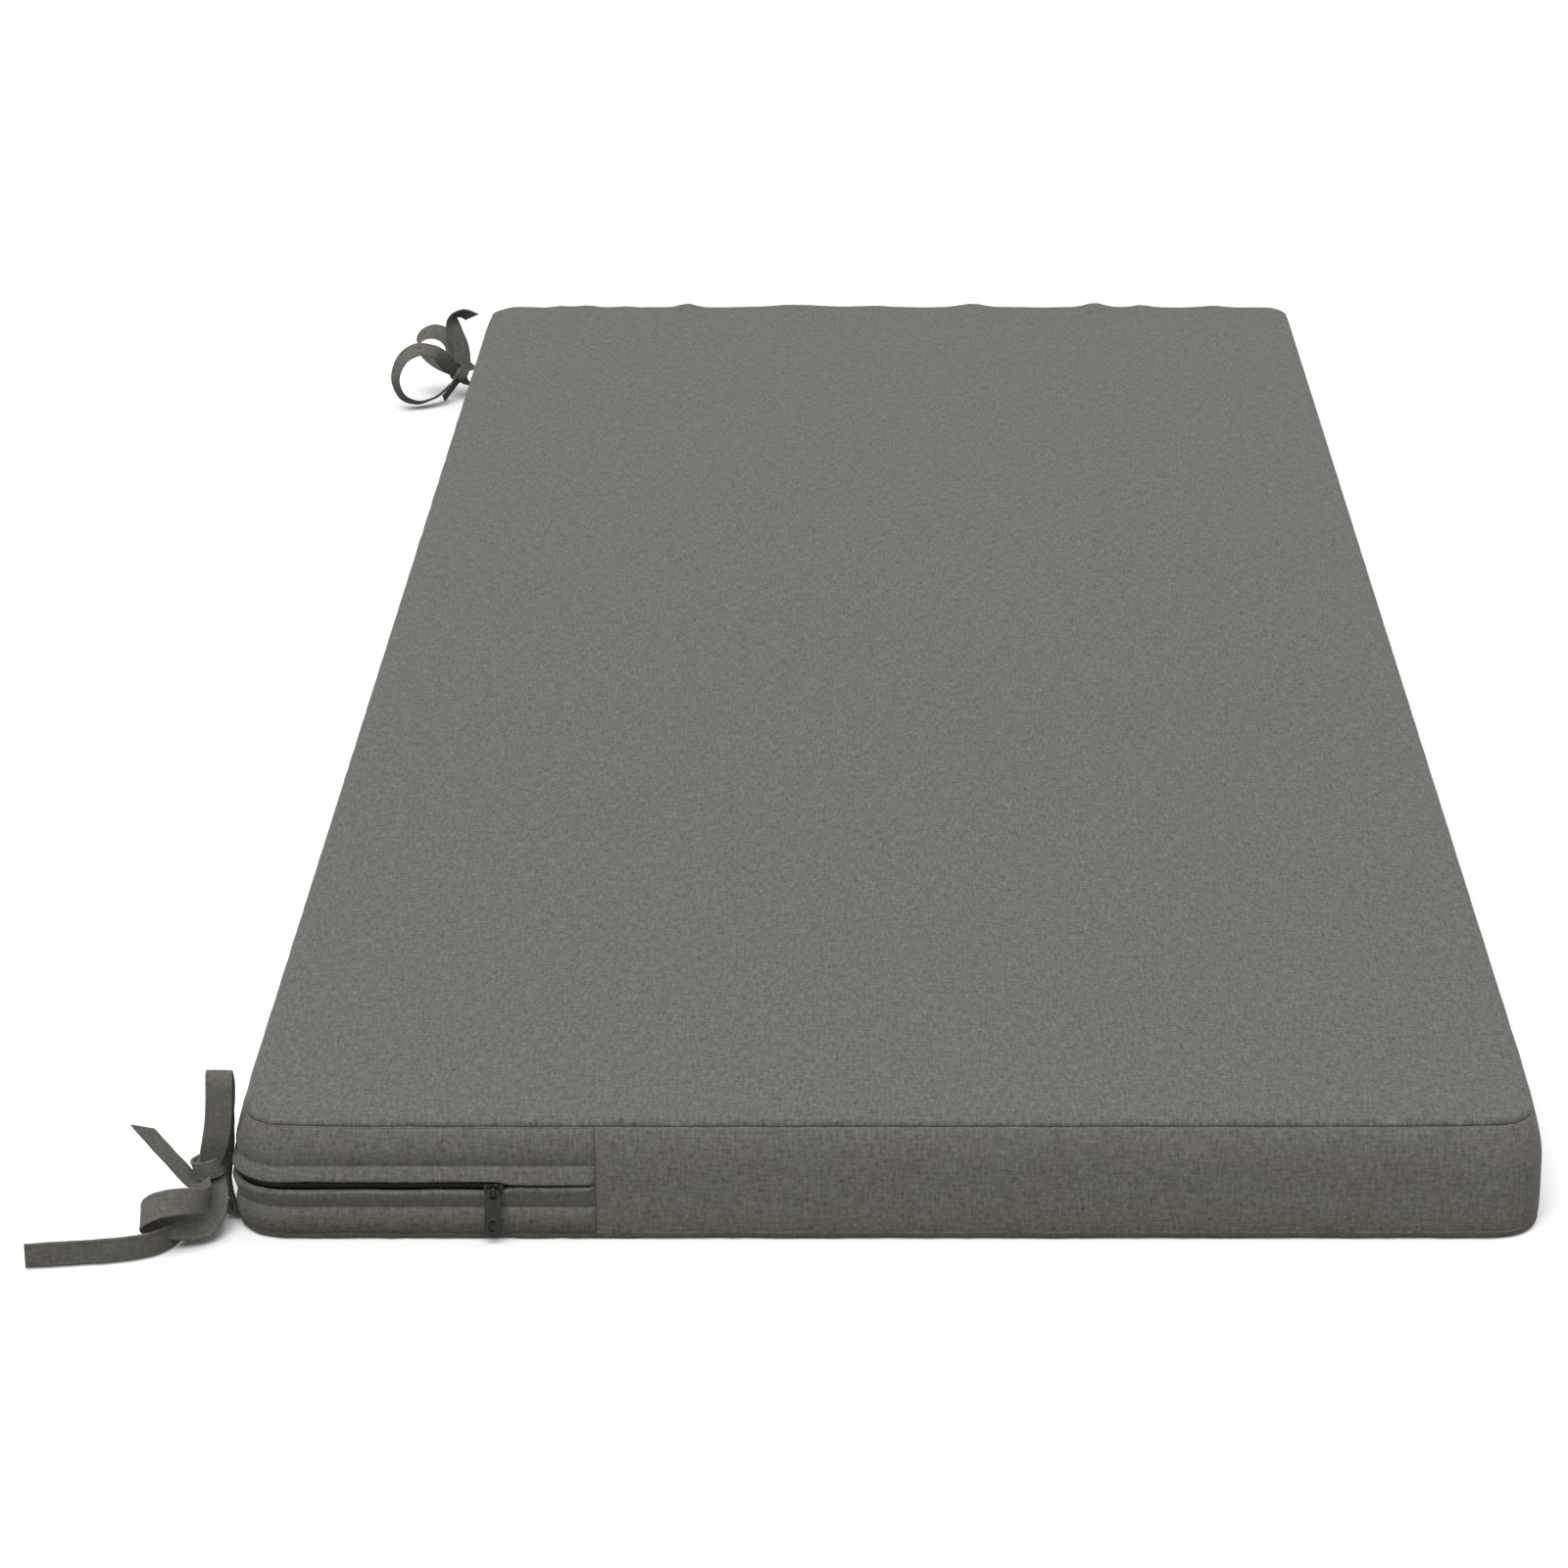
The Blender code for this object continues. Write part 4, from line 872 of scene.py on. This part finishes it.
def make_sleeve(name, rows, flats, cloth, sharp):
    """A flat sleeve of cloth along the zip, from the rows of its section."""
    rows = np.array(rows)
    skin = Skin()
    skin.patch(rows, flats)
    for end in (0, -1):
        ring = rows[:-1, end]
        skin.cap(ring, ring[:, [0, 2]])
    sleeve = skin.build(name, [cloth], sharp)
    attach(sleeve, "root")
    return sleeve


def make_strip(name, node, table, side, cloth):
    """One strip of the band, folded back along the zip and stitched beside the fold."""
    outline = zip_outline(STRIP_END_X, STRIP_END_X, STITCH_PITCH / 3)
    s = outline.distance
    edge = SLOT_Z + side * slot_half(outline)
    sway = ripples(9, 0.020, 0.060)(s)
    fold = ripples(12, 0.006, 0.014)(s)
    bulge = ripples(9, 0.018, 0.050)(s)
    dimple = -np.cos(2 * math.pi * s / STITCH_PITCH)
    ends = step_up(0.0, 0.0016, np.minimum(s, s[-1] - s))
    back = [(side * height_mm, proud_mm, 1, 0) for height_mm, proud_mm in FOLD_BACK]
    rows = []
    section = []
    for height_mm, proud_mm, from_slot, stitch in (*table, *back):
        height = height_mm * MM + from_slot * (edge + sway * STRIP_SWAY + fold * STRIP_FOLD)
        proud = np.full(len(s), proud_mm * MM)
        if proud_mm > BACK_LAYER:
            proud += bulge * STRIP_BULGE + fold * STRIP_RUMPLE
            proud += dimple * stitch * STITCH_DIMPLE
            proud = proud * ends - END_TUCK * (1 - ends)
        plan = outline.at(band_inset(height) + corner_pull(outline, height) - proud)
        rows.append(beside(plan, height))
        section.append((height[len(s) // 2], proud_mm * MM))
    rows.append(rows[0])
    turned = walked(section)
    flats = [beside(s, v) for v in (*turned, turned[-1])]
    strip = make_sleeve(name, rows, flats, cloth, 60.0)
    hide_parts(node)


# ---- stitches and the zip

BEAD_TURNS = np.linspace(0.0, 2 * math.pi, 7)
UP = np.array((0.0, 0.0, 1.0))

# A stitch: place along it, from -1 to 1, and its share of the thread's thickness
STITCH_SHAPE = ((-1.0, 0.25), (-0.78, 0.85), (-0.3, 1.0), (0.3, 1.0), (0.78, 0.85),
                (1.0, 0.25))
THREAD_RADIUS = 0.00024
STITCH_SINK = 0.00018
STITCH_DIVE = 0.00022
STITCH_LIFT_SPREAD = 0.00004
STITCH_TILT_SPREAD = 0.00005

# The zip's tape and chain start behind the slider. The tape's section in millimetres:
# height, depth behind the band
CHAIN_START_X = -0.1508
CHAIN_END_X = -0.1160
ZIP_TAPE_SECTION = ((17.2, 2.2), (19.2, 2.15), (21.4, 2.2), (23.4, 2.2), (25.6, 2.15),
                    (27.8, 2.2), (27.8, 2.8), (22.4, 2.8), (17.2, 2.8))

# A turn of the coil: place up it, from -1 to 1, and its share of the full thickness;
# the two rows of turns: height and shift along the zip as a share of their pitch
TEETH_PITCH = 0.00115
TURN_SHAPE = ((-1.0, 0.35), (-0.75, 0.85), (0.0, 1.0), (0.75, 0.95), (1.0, 0.5))
TURN_HALF = 0.00085
TURN_WIDE = 0.00040
TURN_DEEP = 0.00046
TEETH_SINK = 0.00118
TEETH_ROWS = ((0.02285, 0.0), (0.02195, 0.5))


def ways(x_step, y_step):
    """The directions along a step of the outline and outward from it."""
    ahead = np.array((x_step, y_step, 0.0)) / math.hypot(x_step, y_step)
    return ahead, np.array((-ahead[1], ahead[0], 0.0))


def add_bead(skin, centres, shares, wide, deep, flats):
    """A short rounded rod about its centres, for one stitch or one turn of the coil."""
    round_it = np.outer(np.cos(BEAD_TURNS), wide) + np.outer(np.sin(BEAD_TURNS), deep)
    skin.rod(centres[:, None] + shares[:, None, None] * round_it, flats)


def make_stitches(thread):
    """Two rows of topstitches that hold the folds down beside the zip."""
    outline = zip_outline(STRIP_END_X, STRIP_END_X, STITCH_PITCH / 3)
    s = outline.distance
    t, shares = np.array(STITCH_SHAPE).T
    across = BEAD_TURNS / (2 * math.pi) * 0.0005
    skin = Skin()
    for height in (UPPER_STITCH_Z, LOWER_STITCH_Z):
        plan_x, plan_y = outline.at(float(band_inset(height)) + STITCH_SINK).T
        for i in range(int(s[-1] / STITCH_PITCH) - 1):
            lift = random.normal(0.0, STITCH_LIFT_SPREAD)
            tilt = random.normal(0.0, STITCH_TILT_SPREAD)
            places = (i + 1.5) * STITCH_PITCH + t * STITCH_LENGTH / 2
            x, y = np.interp(places, s, plan_x), np.interp(places, s, plan_y)
            out = ways(x[-1] - x[0], y[-1] - y[0])[1]
            centres = np.column_stack([x, y, height + lift + tilt * t])
            centres -= np.outer(STITCH_DIVE * t * t, out)
            flats = np.dstack(np.meshgrid(across, places))
            add_bead(skin, centres, shares, out * THREAD_RADIUS, UP * THREAD_RADIUS, flats)
    stitches = skin.build("topstitches", [thread], 60.0)
    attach(stitches, "root")


def make_zip_tape(cloth):
    """The tape that carries the coil, stitched flat behind the slot."""
    outline = zip_outline(CHAIN_START_X, CHAIN_END_X, 0.004)
    s = outline.distance
    rows = []
    flats = []
    for height_mm, depth_mm in (*ZIP_TAPE_SECTION, ZIP_TAPE_SECTION[0]):
        plan = outline.at(float(band_inset(SLOT_Z)) + depth_mm * MM)
        rows.append(beside(plan, height_mm * MM))
        flats.append(beside(s, (height_mm + depth_mm) * MM))
    tape = make_sleeve("zip_tape", rows, flats, cloth, 40.0)


def make_teeth(plastic):
    """Two rows of coil turns that lock into each other along the slot."""
    outline = zip_outline(CHAIN_START_X, CHAIN_END_X, 0.002)
    s = outline.distance
    plan = outline.at(float(band_inset(SLOT_Z)) + TEETH_SINK)
    t, shares = np.array(TURN_SHAPE).T
    flats = np.dstack(np.meshgrid(np.arange(len(BEAD_TURNS)) * 0.0004, t * 0.0008))
    skin = Skin()

    def on_plan(at):
        return np.column_stack([np.interp(at, s, way) for way in plan.T])

    for height, shift in TEETH_ROWS:
        places = (np.arange(int(s[-1] / TEETH_PITCH)) + 0.5 + shift) * TEETH_PITCH
        spots = on_plan(places)
        for spot, step in zip(spots, on_plan(places + 0.0004) - spots):
            ahead, out = ways(*step)
            centres = np.append(spot, height) + np.outer(t * TURN_HALF, UP)
            add_bead(skin, centres, shares, ahead * TURN_WIDE, out * TURN_DEEP, flats)
    teeth = skin.build("zip_teeth", [plastic], 60.0)
    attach(teeth, "root")
    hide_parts("zip_chain")


# ---- the ties

NEAR_KNOT = (-260, -583, 24.5)
FAR_KNOT = (-266, 557, 16)

# Each strand: x, y, z from the knot; the way across the tape; and the share of its full
# width, where that isn't 1
NEAR_STANDING_LOOP = (
    (14.4, 5, -22.65, 0, 1, 0, 0.8), (11.6, 5, -22.65, 0, 1, 0, 0.8),
    (9.2, 5, -22.3, 0, 1, 0, 0.72), (7, 5.2, -17.8, 0, 0.98, -0.1, 0.66),
    (5.9, 5.6, -11.4, 0.08, 0.95, -0.2, 0.72), (5.6, 6, -6, 0.18, 0.94, -0.2, 0.86),
    (5.8, 6.2, -0.6, 0.3, 0.93, -0.1), (6, 5.8, 5, 0.38, 0.92, 0),
    (6, 4.9, 12, 0.48, 0.86, 0), (5.9, 3.7, 20, 0.65, 0.76, 0),
    (5.7, 2.6, 28, 0.9, 0.4, 0), (5.6, 1.5, 35, 1, 0, 0), (5.6, -1.2, 38.7, 1, 0, 0),
    (5.6, -4, 35.4, 1, 0, 0), (5.4, -4.8, 28, 1, 0, 0), (4.6, -5, 19, 0.99, 0, 0.1),
    (3.2, -4.8, 11, 0.98, 0, 0.15), (1.5, -3.6, 5, 0.97, 0, 0.2, 0.92),
    (0, -1.8, -1.5, 0.98, 0, 0.2, 0.75))

NEAR_SIDE_LOOP = (
    (1.2, -0.6, -4, -1, 0, 0, 0.7), (3, -4, -8.5, -0.97, 0.05, 0.25, 0.75),
    (2.9, -11, -13, -0.85, 0.2, 0.45, 0.9), (0.4, -18, -16.8, -0.5, 0.45, 0.75),
    (-6.1, -22.5, -16.6, -0.1, 0.5, 0.86), (-13.9, -25, -14.4, 0, 0.5, 0.86),
    (-19.7, -25.8, -13.2, 0, 0.55, 0.83), (-22.5, -27.6, -10.4, 0, 0.65, 0.76),
    (-21.2, -29.8, -7, 0, 0.65, 0.76), (-17, -30.5, -4, 0, 0.55, 0.83),
    (-10.9, -30, -2.6, 0, 0.5, 0.86), (-5.1, -28, -3, 0, 0.45, 0.89),
    (0.2, -23, -5.2, 0.1, 0.3, 0.95), (0.9, -16, -6.6, 0.2, 0.2, 0.95, 0.95),
    (-1.2, -9, -6.6, 0.4, 0.2, 0.88, 0.85), (-2.4, -2, -5, 0.8, 0.2, 0.5, 0.7))

NEAR_FREE_END = (
    (-1.6, 1.6, -7.8, 0.1, 0.99, 0.1, 0.7), (-4.2, 0.6, -8.8, 0.1, 0.99, 0.1, 0.85),
    (-7.4, -0.4, -7.2, 0.14, 0.98, 0.11), (-11.4, -1, -2.2, 0.14, 0.98, 0.11),
    (-19.4, -1.2, 8.2, 0.14, 0.98, 0.11), (-27.6, -1.3, 19.2, 0.14, 0.98, 0.11))

NEAR_FLOOR_TAIL = (
    (-0.6, 0.8, -3, 1, 0, 0, 0.8), (-1.2, 1.2, -8, 1, 0, 0, 0.8),
    (-2.6, -2.6, -13, 0.93, -0.1, 0.2, 0.9), (-4.6, -9.4, -17, 0.65, -0.3, 0.6),
    (-7.8, -17.6, -18.8, 0.3, -0.1, 0.95), (-12.4, -25.4, -19, 0.1, 0, 1),
    (-18.6, -31.6, -19, 0.05, 0, 1), (-26.4, -35.2, -19, 0, 0, 1),
    (-35.4, -37.4, -19, 0, 0, 1), (-45, -38.8, -19, 0, 0, 1), (-55, -40.2, -19, 0, 0, 1),
    (-65, -41.6, -19, 0, 0, 1))

NEAR_LOW_STRAND = (
    (14.35, 5.1, -22.7, 0, 1, 0, 0.97), (11.6, 5.1, -22.7, 0, 1, 0, 0.97),
    (8.8, 5.1, -22.75, 0, 1, 0, 0.97), (5, 4.8, -20.9, 0.1, 0.99, 0),
    (1.2, 4.6, -18.6, 0.35, 0.94, 0), (-0.4, 4, -13, 0.8, 0.6, 0, 0.95),
    (-0.2, 2.6, -7, 0.95, 0.3, 0, 0.8), (0, 1.2, -1.5, 1, 0, 0, 0.75))

FAR_HIGH_STRAND = (
    (20.4, 21, -14.15, 0, 1, 0), (17.6, 21, -14.15, 0, 1, 0), (15, 20.8, -14, 0, 1, 0),
    (13, 19, -10.6, -0.25, 0.92, 0.05), (11.6, 16.6, -5.6, -0.42, 0.83, 0.12),
    (9, 11.5, 1, -0.65, 0.65, 0.3), (5, 5.5, 4, -0.6, 0.5, 0.6, 0.9),
    (0.8, 1, 2, -0.5, 0.4, 0.75, 0.75))

FAR_LOW_STRAND = (
    (20.35, 21.1, -14.2, 0, 1, 0, 0.97), (17.6, 21.1, -14.2, 0, 1, 0, 0.97),
    (14.8, 21, -14.2, 0, 1, 0, 0.97), (9.6, 18.2, -13, -0.35, 0.93, 0),
    (5, 11, -10.4, -0.8, 0.6, 0, 0.9), (1.6, 4.4, -5.5, -0.95, 0.3, 0.1, 0.8),
    (0.4, 0.8, -0.5, -1, 0.1, 0, 0.75))

FAR_ROUND_LOOP = (
    (0.8, 0.8, 2, 0.5, 0.4, 0.7, 0.75), (-3.6, -4.6, 4.6, 0.55, 0.3, 0.7, 0.9),
    (-8.2, -10.6, 11.8, 0.45, 0.5, 0.65), (-13.8, -16, 18.2, 0.1, 0.83, 0.5),
    (-22.8, -20.4, 20.8, -0.25, 0.8, 0.54), (-32, -25, 16, -0.45, 0.8, 0.35),
    (-36.6, -27.4, 4.4, -0.55, 0.83, 0), (-32.8, -25.6, -7.6, -0.5, 0.8, -0.28),
    (-23.6, -21.6, -12.5, -0.3, 0.85, -0.42), (-13.4, -15.8, -10.6, -0.1, 0.93, -0.3),
    (-6.6, -9, -6.4, 0.1, 0.95, -0.2, 0.9), (-1.2, -2.6, -3, 0.3, 0.9, -0.1, 0.75))

FAR_BACK_LOOP = (
    (-0.6, 0.6, 1.6, 0.6, 0.6, 0.4, 0.75), (-2.8, 5, 8.4, 0.5, 0.6, 0.6, 0.9),
    (-4.8, 9.2, 16.4, 0.4, 0.6, 0.7), (-9.4, 11.2, 21.4, 0.3, 0.62, 0.74),
    (-16, 11.8, 23.4, 0.1, 0.7, 0.7), (-22.4, 11, 21.4, -0.1, 0.85, 0.5),
    (-24.8, 9.2, 16.6, -0.15, 0.9, 0.38), (-21.2, 7.2, 10.4, -0.1, 0.9, 0.4),
    (-14, 5, 5.4, 0.1, 0.9, 0.4), (-7.4, 3.2, 2.4, 0.2, 0.9, 0.4, 0.9),
    (-1, 0.8, -0.6, 0.3, 0.9, 0.2, 0.75))

FAR_RISING_END = (
    (1.6, 1.2, 0, 1, 0.2, 0, 0.75), (2.2, 2.4, 7, 1, 0.3, 0, 0.95),
    (1, 3.6, 16, 0.97, 0.2, 0), (-2, 4.2, 24.6, 0.9, 0.4, 0.1),
    (-3.4, 5, 31, 0.7, 0.65, 0.1), (-1.6, 5.8, 35.7, 0.35, 0.85, -0.3),
    (3.8, 6.4, 36.2, 0.1, 0.64, -0.76), (11.2, 6.6, 33, 0, 0.5, -0.86))

FAR_SHORT_END = (
    (0.6, -1, -0.6, 0.3, 0.9, -0.3, 0.8), (-2.4, -5.6, -4.6, 0.25, 0.92, -0.3, 0.95),
    (-6.2, -10.2, -9.4, 0.2, 0.93, -0.3), (-9.6, -14.6, -12.8, 0.2, 0.93, -0.3))

# The knot's crumpled core: its middle and half-sizes. The band round it: its middle,
# half-sizes, the way across the tape, and the share of its full width
NEAR_CORE = ((-0.8, -0.4, -2.0), (4.6, 3.4, 6.0))
FAR_CORE = ((0.2, 0.0, 0.0), (4.0, 3.8, 4.6))
NEAR_BAND = ((-0.9, -0.6, -1.4), (5.5, 4.5), (-0.22, 0.0, 1.0), 0.80)
FAR_BAND = ((0.2, -0.2, 0.0), (5.0, 5.2), (-0.66, -0.25, 0.71), 0.62)


def smooth_samples(rows, step_mm):
    """Samples of a smooth curve through the rows, a few for each stretch."""
    table = np.array([row if len(row) == 7 else (*row, 1) for row in rows], float)
    padded = np.vstack([2 * table[0] - table[1], table, 2 * table[-1] - table[-2]])
    samples = []
    for i in range(len(table) - 1):
        before, start, end, after = padded[i:i + 4]
        count = max(1, round(float(np.linalg.norm((end - start)[:3])) / step_mm))
        for k in range(count):
            t = k / count
            curve = 2 * start + (end - before) * t
            curve += (2 * before - 5 * start + 4 * end - after) * t ** 2
            curve += (3 * start - before - 3 * end + after) * t ** 3
            samples.append(curve / 2)
    samples.append(table[-1])
    return np.array(samples)


# Section of the tape: place across it as a share of its half-width, and half its
# thickness as a share of the full one. Its edges are rounded and a little raised.
TAPE_SECTION = ((-1.0, 0.0), (-0.97, 0.55), (-0.90, 0.88), (-0.80, 0.92), (-0.70, 0.74),
                (-0.60, 0.84), (-0.3, 0.88), (0.0, 0.86), (0.3, 0.88), (0.60, 0.84),
                (0.70, 0.74), (0.80, 0.92), (0.90, 0.88), (0.97, 0.55), (1.0, 0.0))
STRAND_STEP_MM = 0.7
END_CUT_FADE = 2.5
TAPE_CUP = 0.00012
TAPE_WOBBLE = 0.00010

# Stations round the knot's band, and its creases in millimetres: how deep, how many
BAND_STATIONS = 48
BAND_CREASES = ((0.12, 3), (0.08, 7))
CORE_RINGS = 12
CORE_STATIONS = 24


def closed_section():
    """The tape's section, over its upper side and back along its lower one."""
    back = [(a, -b) for a, b in TAPE_SECTION[-2:0:-1]]
    return [*TAPE_SECTION, *back, TAPE_SECTION[0]]


def add_strand(skin, rows, knot_mm, end_cut):
    """One strand of tape as a closed rounded strip. Gives back its length."""
    samples = smooth_samples(rows, STRAND_STEP_MM)
    centres = (samples[:, :3] + np.array(knot_mm)) * MM
    ahead = np.gradient(centres, axis=0)
    ahead /= np.linalg.norm(ahead, axis=1)[:, None]
    across = samples[:, 3:6]
    across = across - ahead * (across * ahead).sum(1)[:, None]
    across /= np.linalg.norm(across, axis=1)[:, None]
    through = np.cross(ahead, across)
    s = walked(centres)
    half = TAPE_WIDTH * samples[:, 6] / 2
    thick = TAPE_THICKNESS / 2
    shear = np.zeros(len(s))
    if end_cut:
        left = np.linalg.norm(centres - centres[-1], axis=1)
        shear = end_cut * np.clip(1 - left / (END_CUT_FADE * end_cut), 0, 1)
    wobble = ripples(6, 0.008, 0.022)(s)
    cup = ripples(5, 0.015, 0.040)(s)
    section = closed_section()
    turned = walked([(a * TAPE_WIDTH / 2, b * thick) for a, b in section])
    rings = []
    flats = []
    for (a, b), round_it in zip(section, turned):
        slide = shear * (a / 2 + 0.5)
        bend = (1 - a * a) * cup * TAPE_CUP + a * wobble * TAPE_WOBBLE
        rings.append(centres + across * (a * half)[:, None]
                     + through * (b * thick + bend)[:, None] - ahead * slide[:, None])
        flats.append(np.column_stack([np.full(len(s), round_it), s - slide]))
    skin.rod(np.swapaxes(rings, 0, 1), np.swapaxes(flats, 0, 1))
    return float(s[-1])


def add_knot_band(skin, knot_mm, band):
    """The turn of tape round the knot."""
    centre_mm, half_sizes, axis, share = band
    axis = np.array(axis) / np.linalg.norm(axis)
    first = np.array((1.0, 0.0, 0.0))
    first = first - axis * first.dot(axis)
    first /= np.linalg.norm(first)
    second = np.cross(axis, first)
    middle = np.add(knot_mm, centre_mm)
    half = TAPE_WIDTH / MM * share / 2
    thick = TAPE_THICKNESS / MM / 2
    (deep, folds), (shallow, ripple) = BAND_CREASES
    rings = []
    flats = []
    for a, b in closed_section():
        along = a * 0.96 * half
        ring = []
        flat = []
        for angle in np.linspace(0.0, 2 * math.pi, BAND_STATIONS + 1):
            out = first * half_sizes[0] * math.cos(angle)
            out = out + second * half_sizes[1] * math.sin(angle)
            outward = out / np.linalg.norm(out)
            crease = deep * math.sin(folds * angle + along)
            crease += shallow * math.sin(ripple * angle) + b * thick
            ring.append((middle + out + axis * along + outward * crease) * MM)
            flat.append((along * MM, angle * half_sizes[0] * MM))
        rings.append(ring)
        flats.append(flat)
    skin.patch(rings, flats)


def add_knot_core(skin, knot_mm, core):
    """The crumpled tape inside the knot."""
    centre_mm, (a, b, c) = core
    middle = np.add(knot_mm, centre_mm)
    rings = []
    flats = []
    for lift in np.arange(1, CORE_RINGS) * math.pi / CORE_RINGS:
        ring = []
        flat = []
        for angle in np.linspace(0.0, 2 * math.pi, CORE_STATIONS + 1):
            crease = 1 + 0.05 * math.sin(3 * angle + 2 * lift)
            crease += 0.04 * math.sin(5 * angle - lift)
            reach = crease * math.sin(lift)
            offset = (a * math.cos(angle) * reach, b * math.sin(angle) * reach,
                      -c * math.cos(lift))
            ring.append((middle + offset) * MM)
            flat.append((angle * a * MM, lift * c * MM))
        rings.append(ring)
        flats.append(flat)
    skin.rod(rings, flats)


def make_tie(name, node, knot, strands, core, band, cloth):
    """A tape caught in the bottom seam by its middle and tied in a bow."""
    skin = Skin()
    add_knot_core(skin, knot, core)
    length = sum(add_strand(skin, rows, knot, cut) for rows, cut in strands)
    add_knot_band(skin, knot, band)
    tie = skin.build(name, [cloth], 50.0)
    length += math.pi * sum(band[1]) * MM
    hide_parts(node)
    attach(tie, "root")


# ---- the whole cushion

NEAR_STRANDS = ((NEAR_STANDING_LOOP, 0.0), (NEAR_LOW_STRAND, 0.0), (NEAR_SIDE_LOOP, 0.0),
                (NEAR_FLOOR_TAIL, 0.0), (NEAR_FREE_END, 0.0095))
FAR_STRANDS = ((FAR_HIGH_STRAND, 0.0), (FAR_LOW_STRAND, 0.0), (FAR_ROUND_LOOP, 0.0),
               (FAR_BACK_LOOP, 0.0), (FAR_RISING_END, 0.0060), (FAR_SHORT_END, 0.0030))


def dress_node(node, finish):
    """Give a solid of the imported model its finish."""
    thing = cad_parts[node]
    thing.data.materials.clear()
    thing.data.materials.append(finish)


def main():
    set_camera()
    set_surround()
    set_lights()
    make_floor(pale_floor("pale_floor"))
    panel = heather_cloth("panel_heather", (0.0960, 0.0955, 0.0855), 0.20, 1.7)
    # The band is the panel's cloth made lighter: painted light that makes up for the weaker
    # light on the upright sides
    band = heather_cloth("band_heather", (0.1220, 0.1140, 0.1040), 0.5, 1.5)
    # The underside's cloth is made darker: painted shade on the low lip below the bottom
    # seam
    base = heather_cloth("underside_heather", (0.085, 0.079, 0.070), 0.5, 1.4)
    strip_cloth = heather_cloth("strip_heather", (0.1080, 0.1015, 0.0920), 0.5, 1.5)
    tie_cloth = woven_tape("tie_tape", (0.104, 0.100, 0.088), 0.0011)
    # Black tape, darkened further as painted shade in the zip's slot
    zip_cloth = woven_tape("zip_tape_cloth", (0.008, 0.008, 0.0075), 0.0008)
    thread = sewing_thread("strip_thread", (0.125, 0.118, 0.105))
    # Black coil, darkened further as painted shade in the zip's slot
    coil = nylon("coil_nylon", (0.010, 0.010, 0.0095))
    slider = painted_metal("slider_paint", (0.014, 0.0145, 0.013), (0.10, 0.10, 0.095))
    pull = painted_metal("pull_paint", (0.021, 0.022, 0.019), (0.055, 0.055, 0.05))
    make_cover(panel, band, base)
    make_strip("strip_upper", "zip_strip_upper", UPPER_STRIP, 1.0, strip_cloth)
    make_strip("strip_lower", "zip_strip_lower", LOWER_STRIP, -1.0, strip_cloth)
    make_stitches(thread)
    make_zip_tape(zip_cloth)
    make_teeth(coil)
    dress_node("zip_slider", slider)
    dress_node("zip_pull", pull)
    make_tie("near_tie", "tie_front", NEAR_KNOT, NEAR_STRANDS, NEAR_CORE, NEAR_BAND,
             tie_cloth)
    make_tie("far_tie", "tie_back", FAR_KNOT, FAR_STRANDS, FAR_CORE, FAR_BAND, tie_cloth)


main()
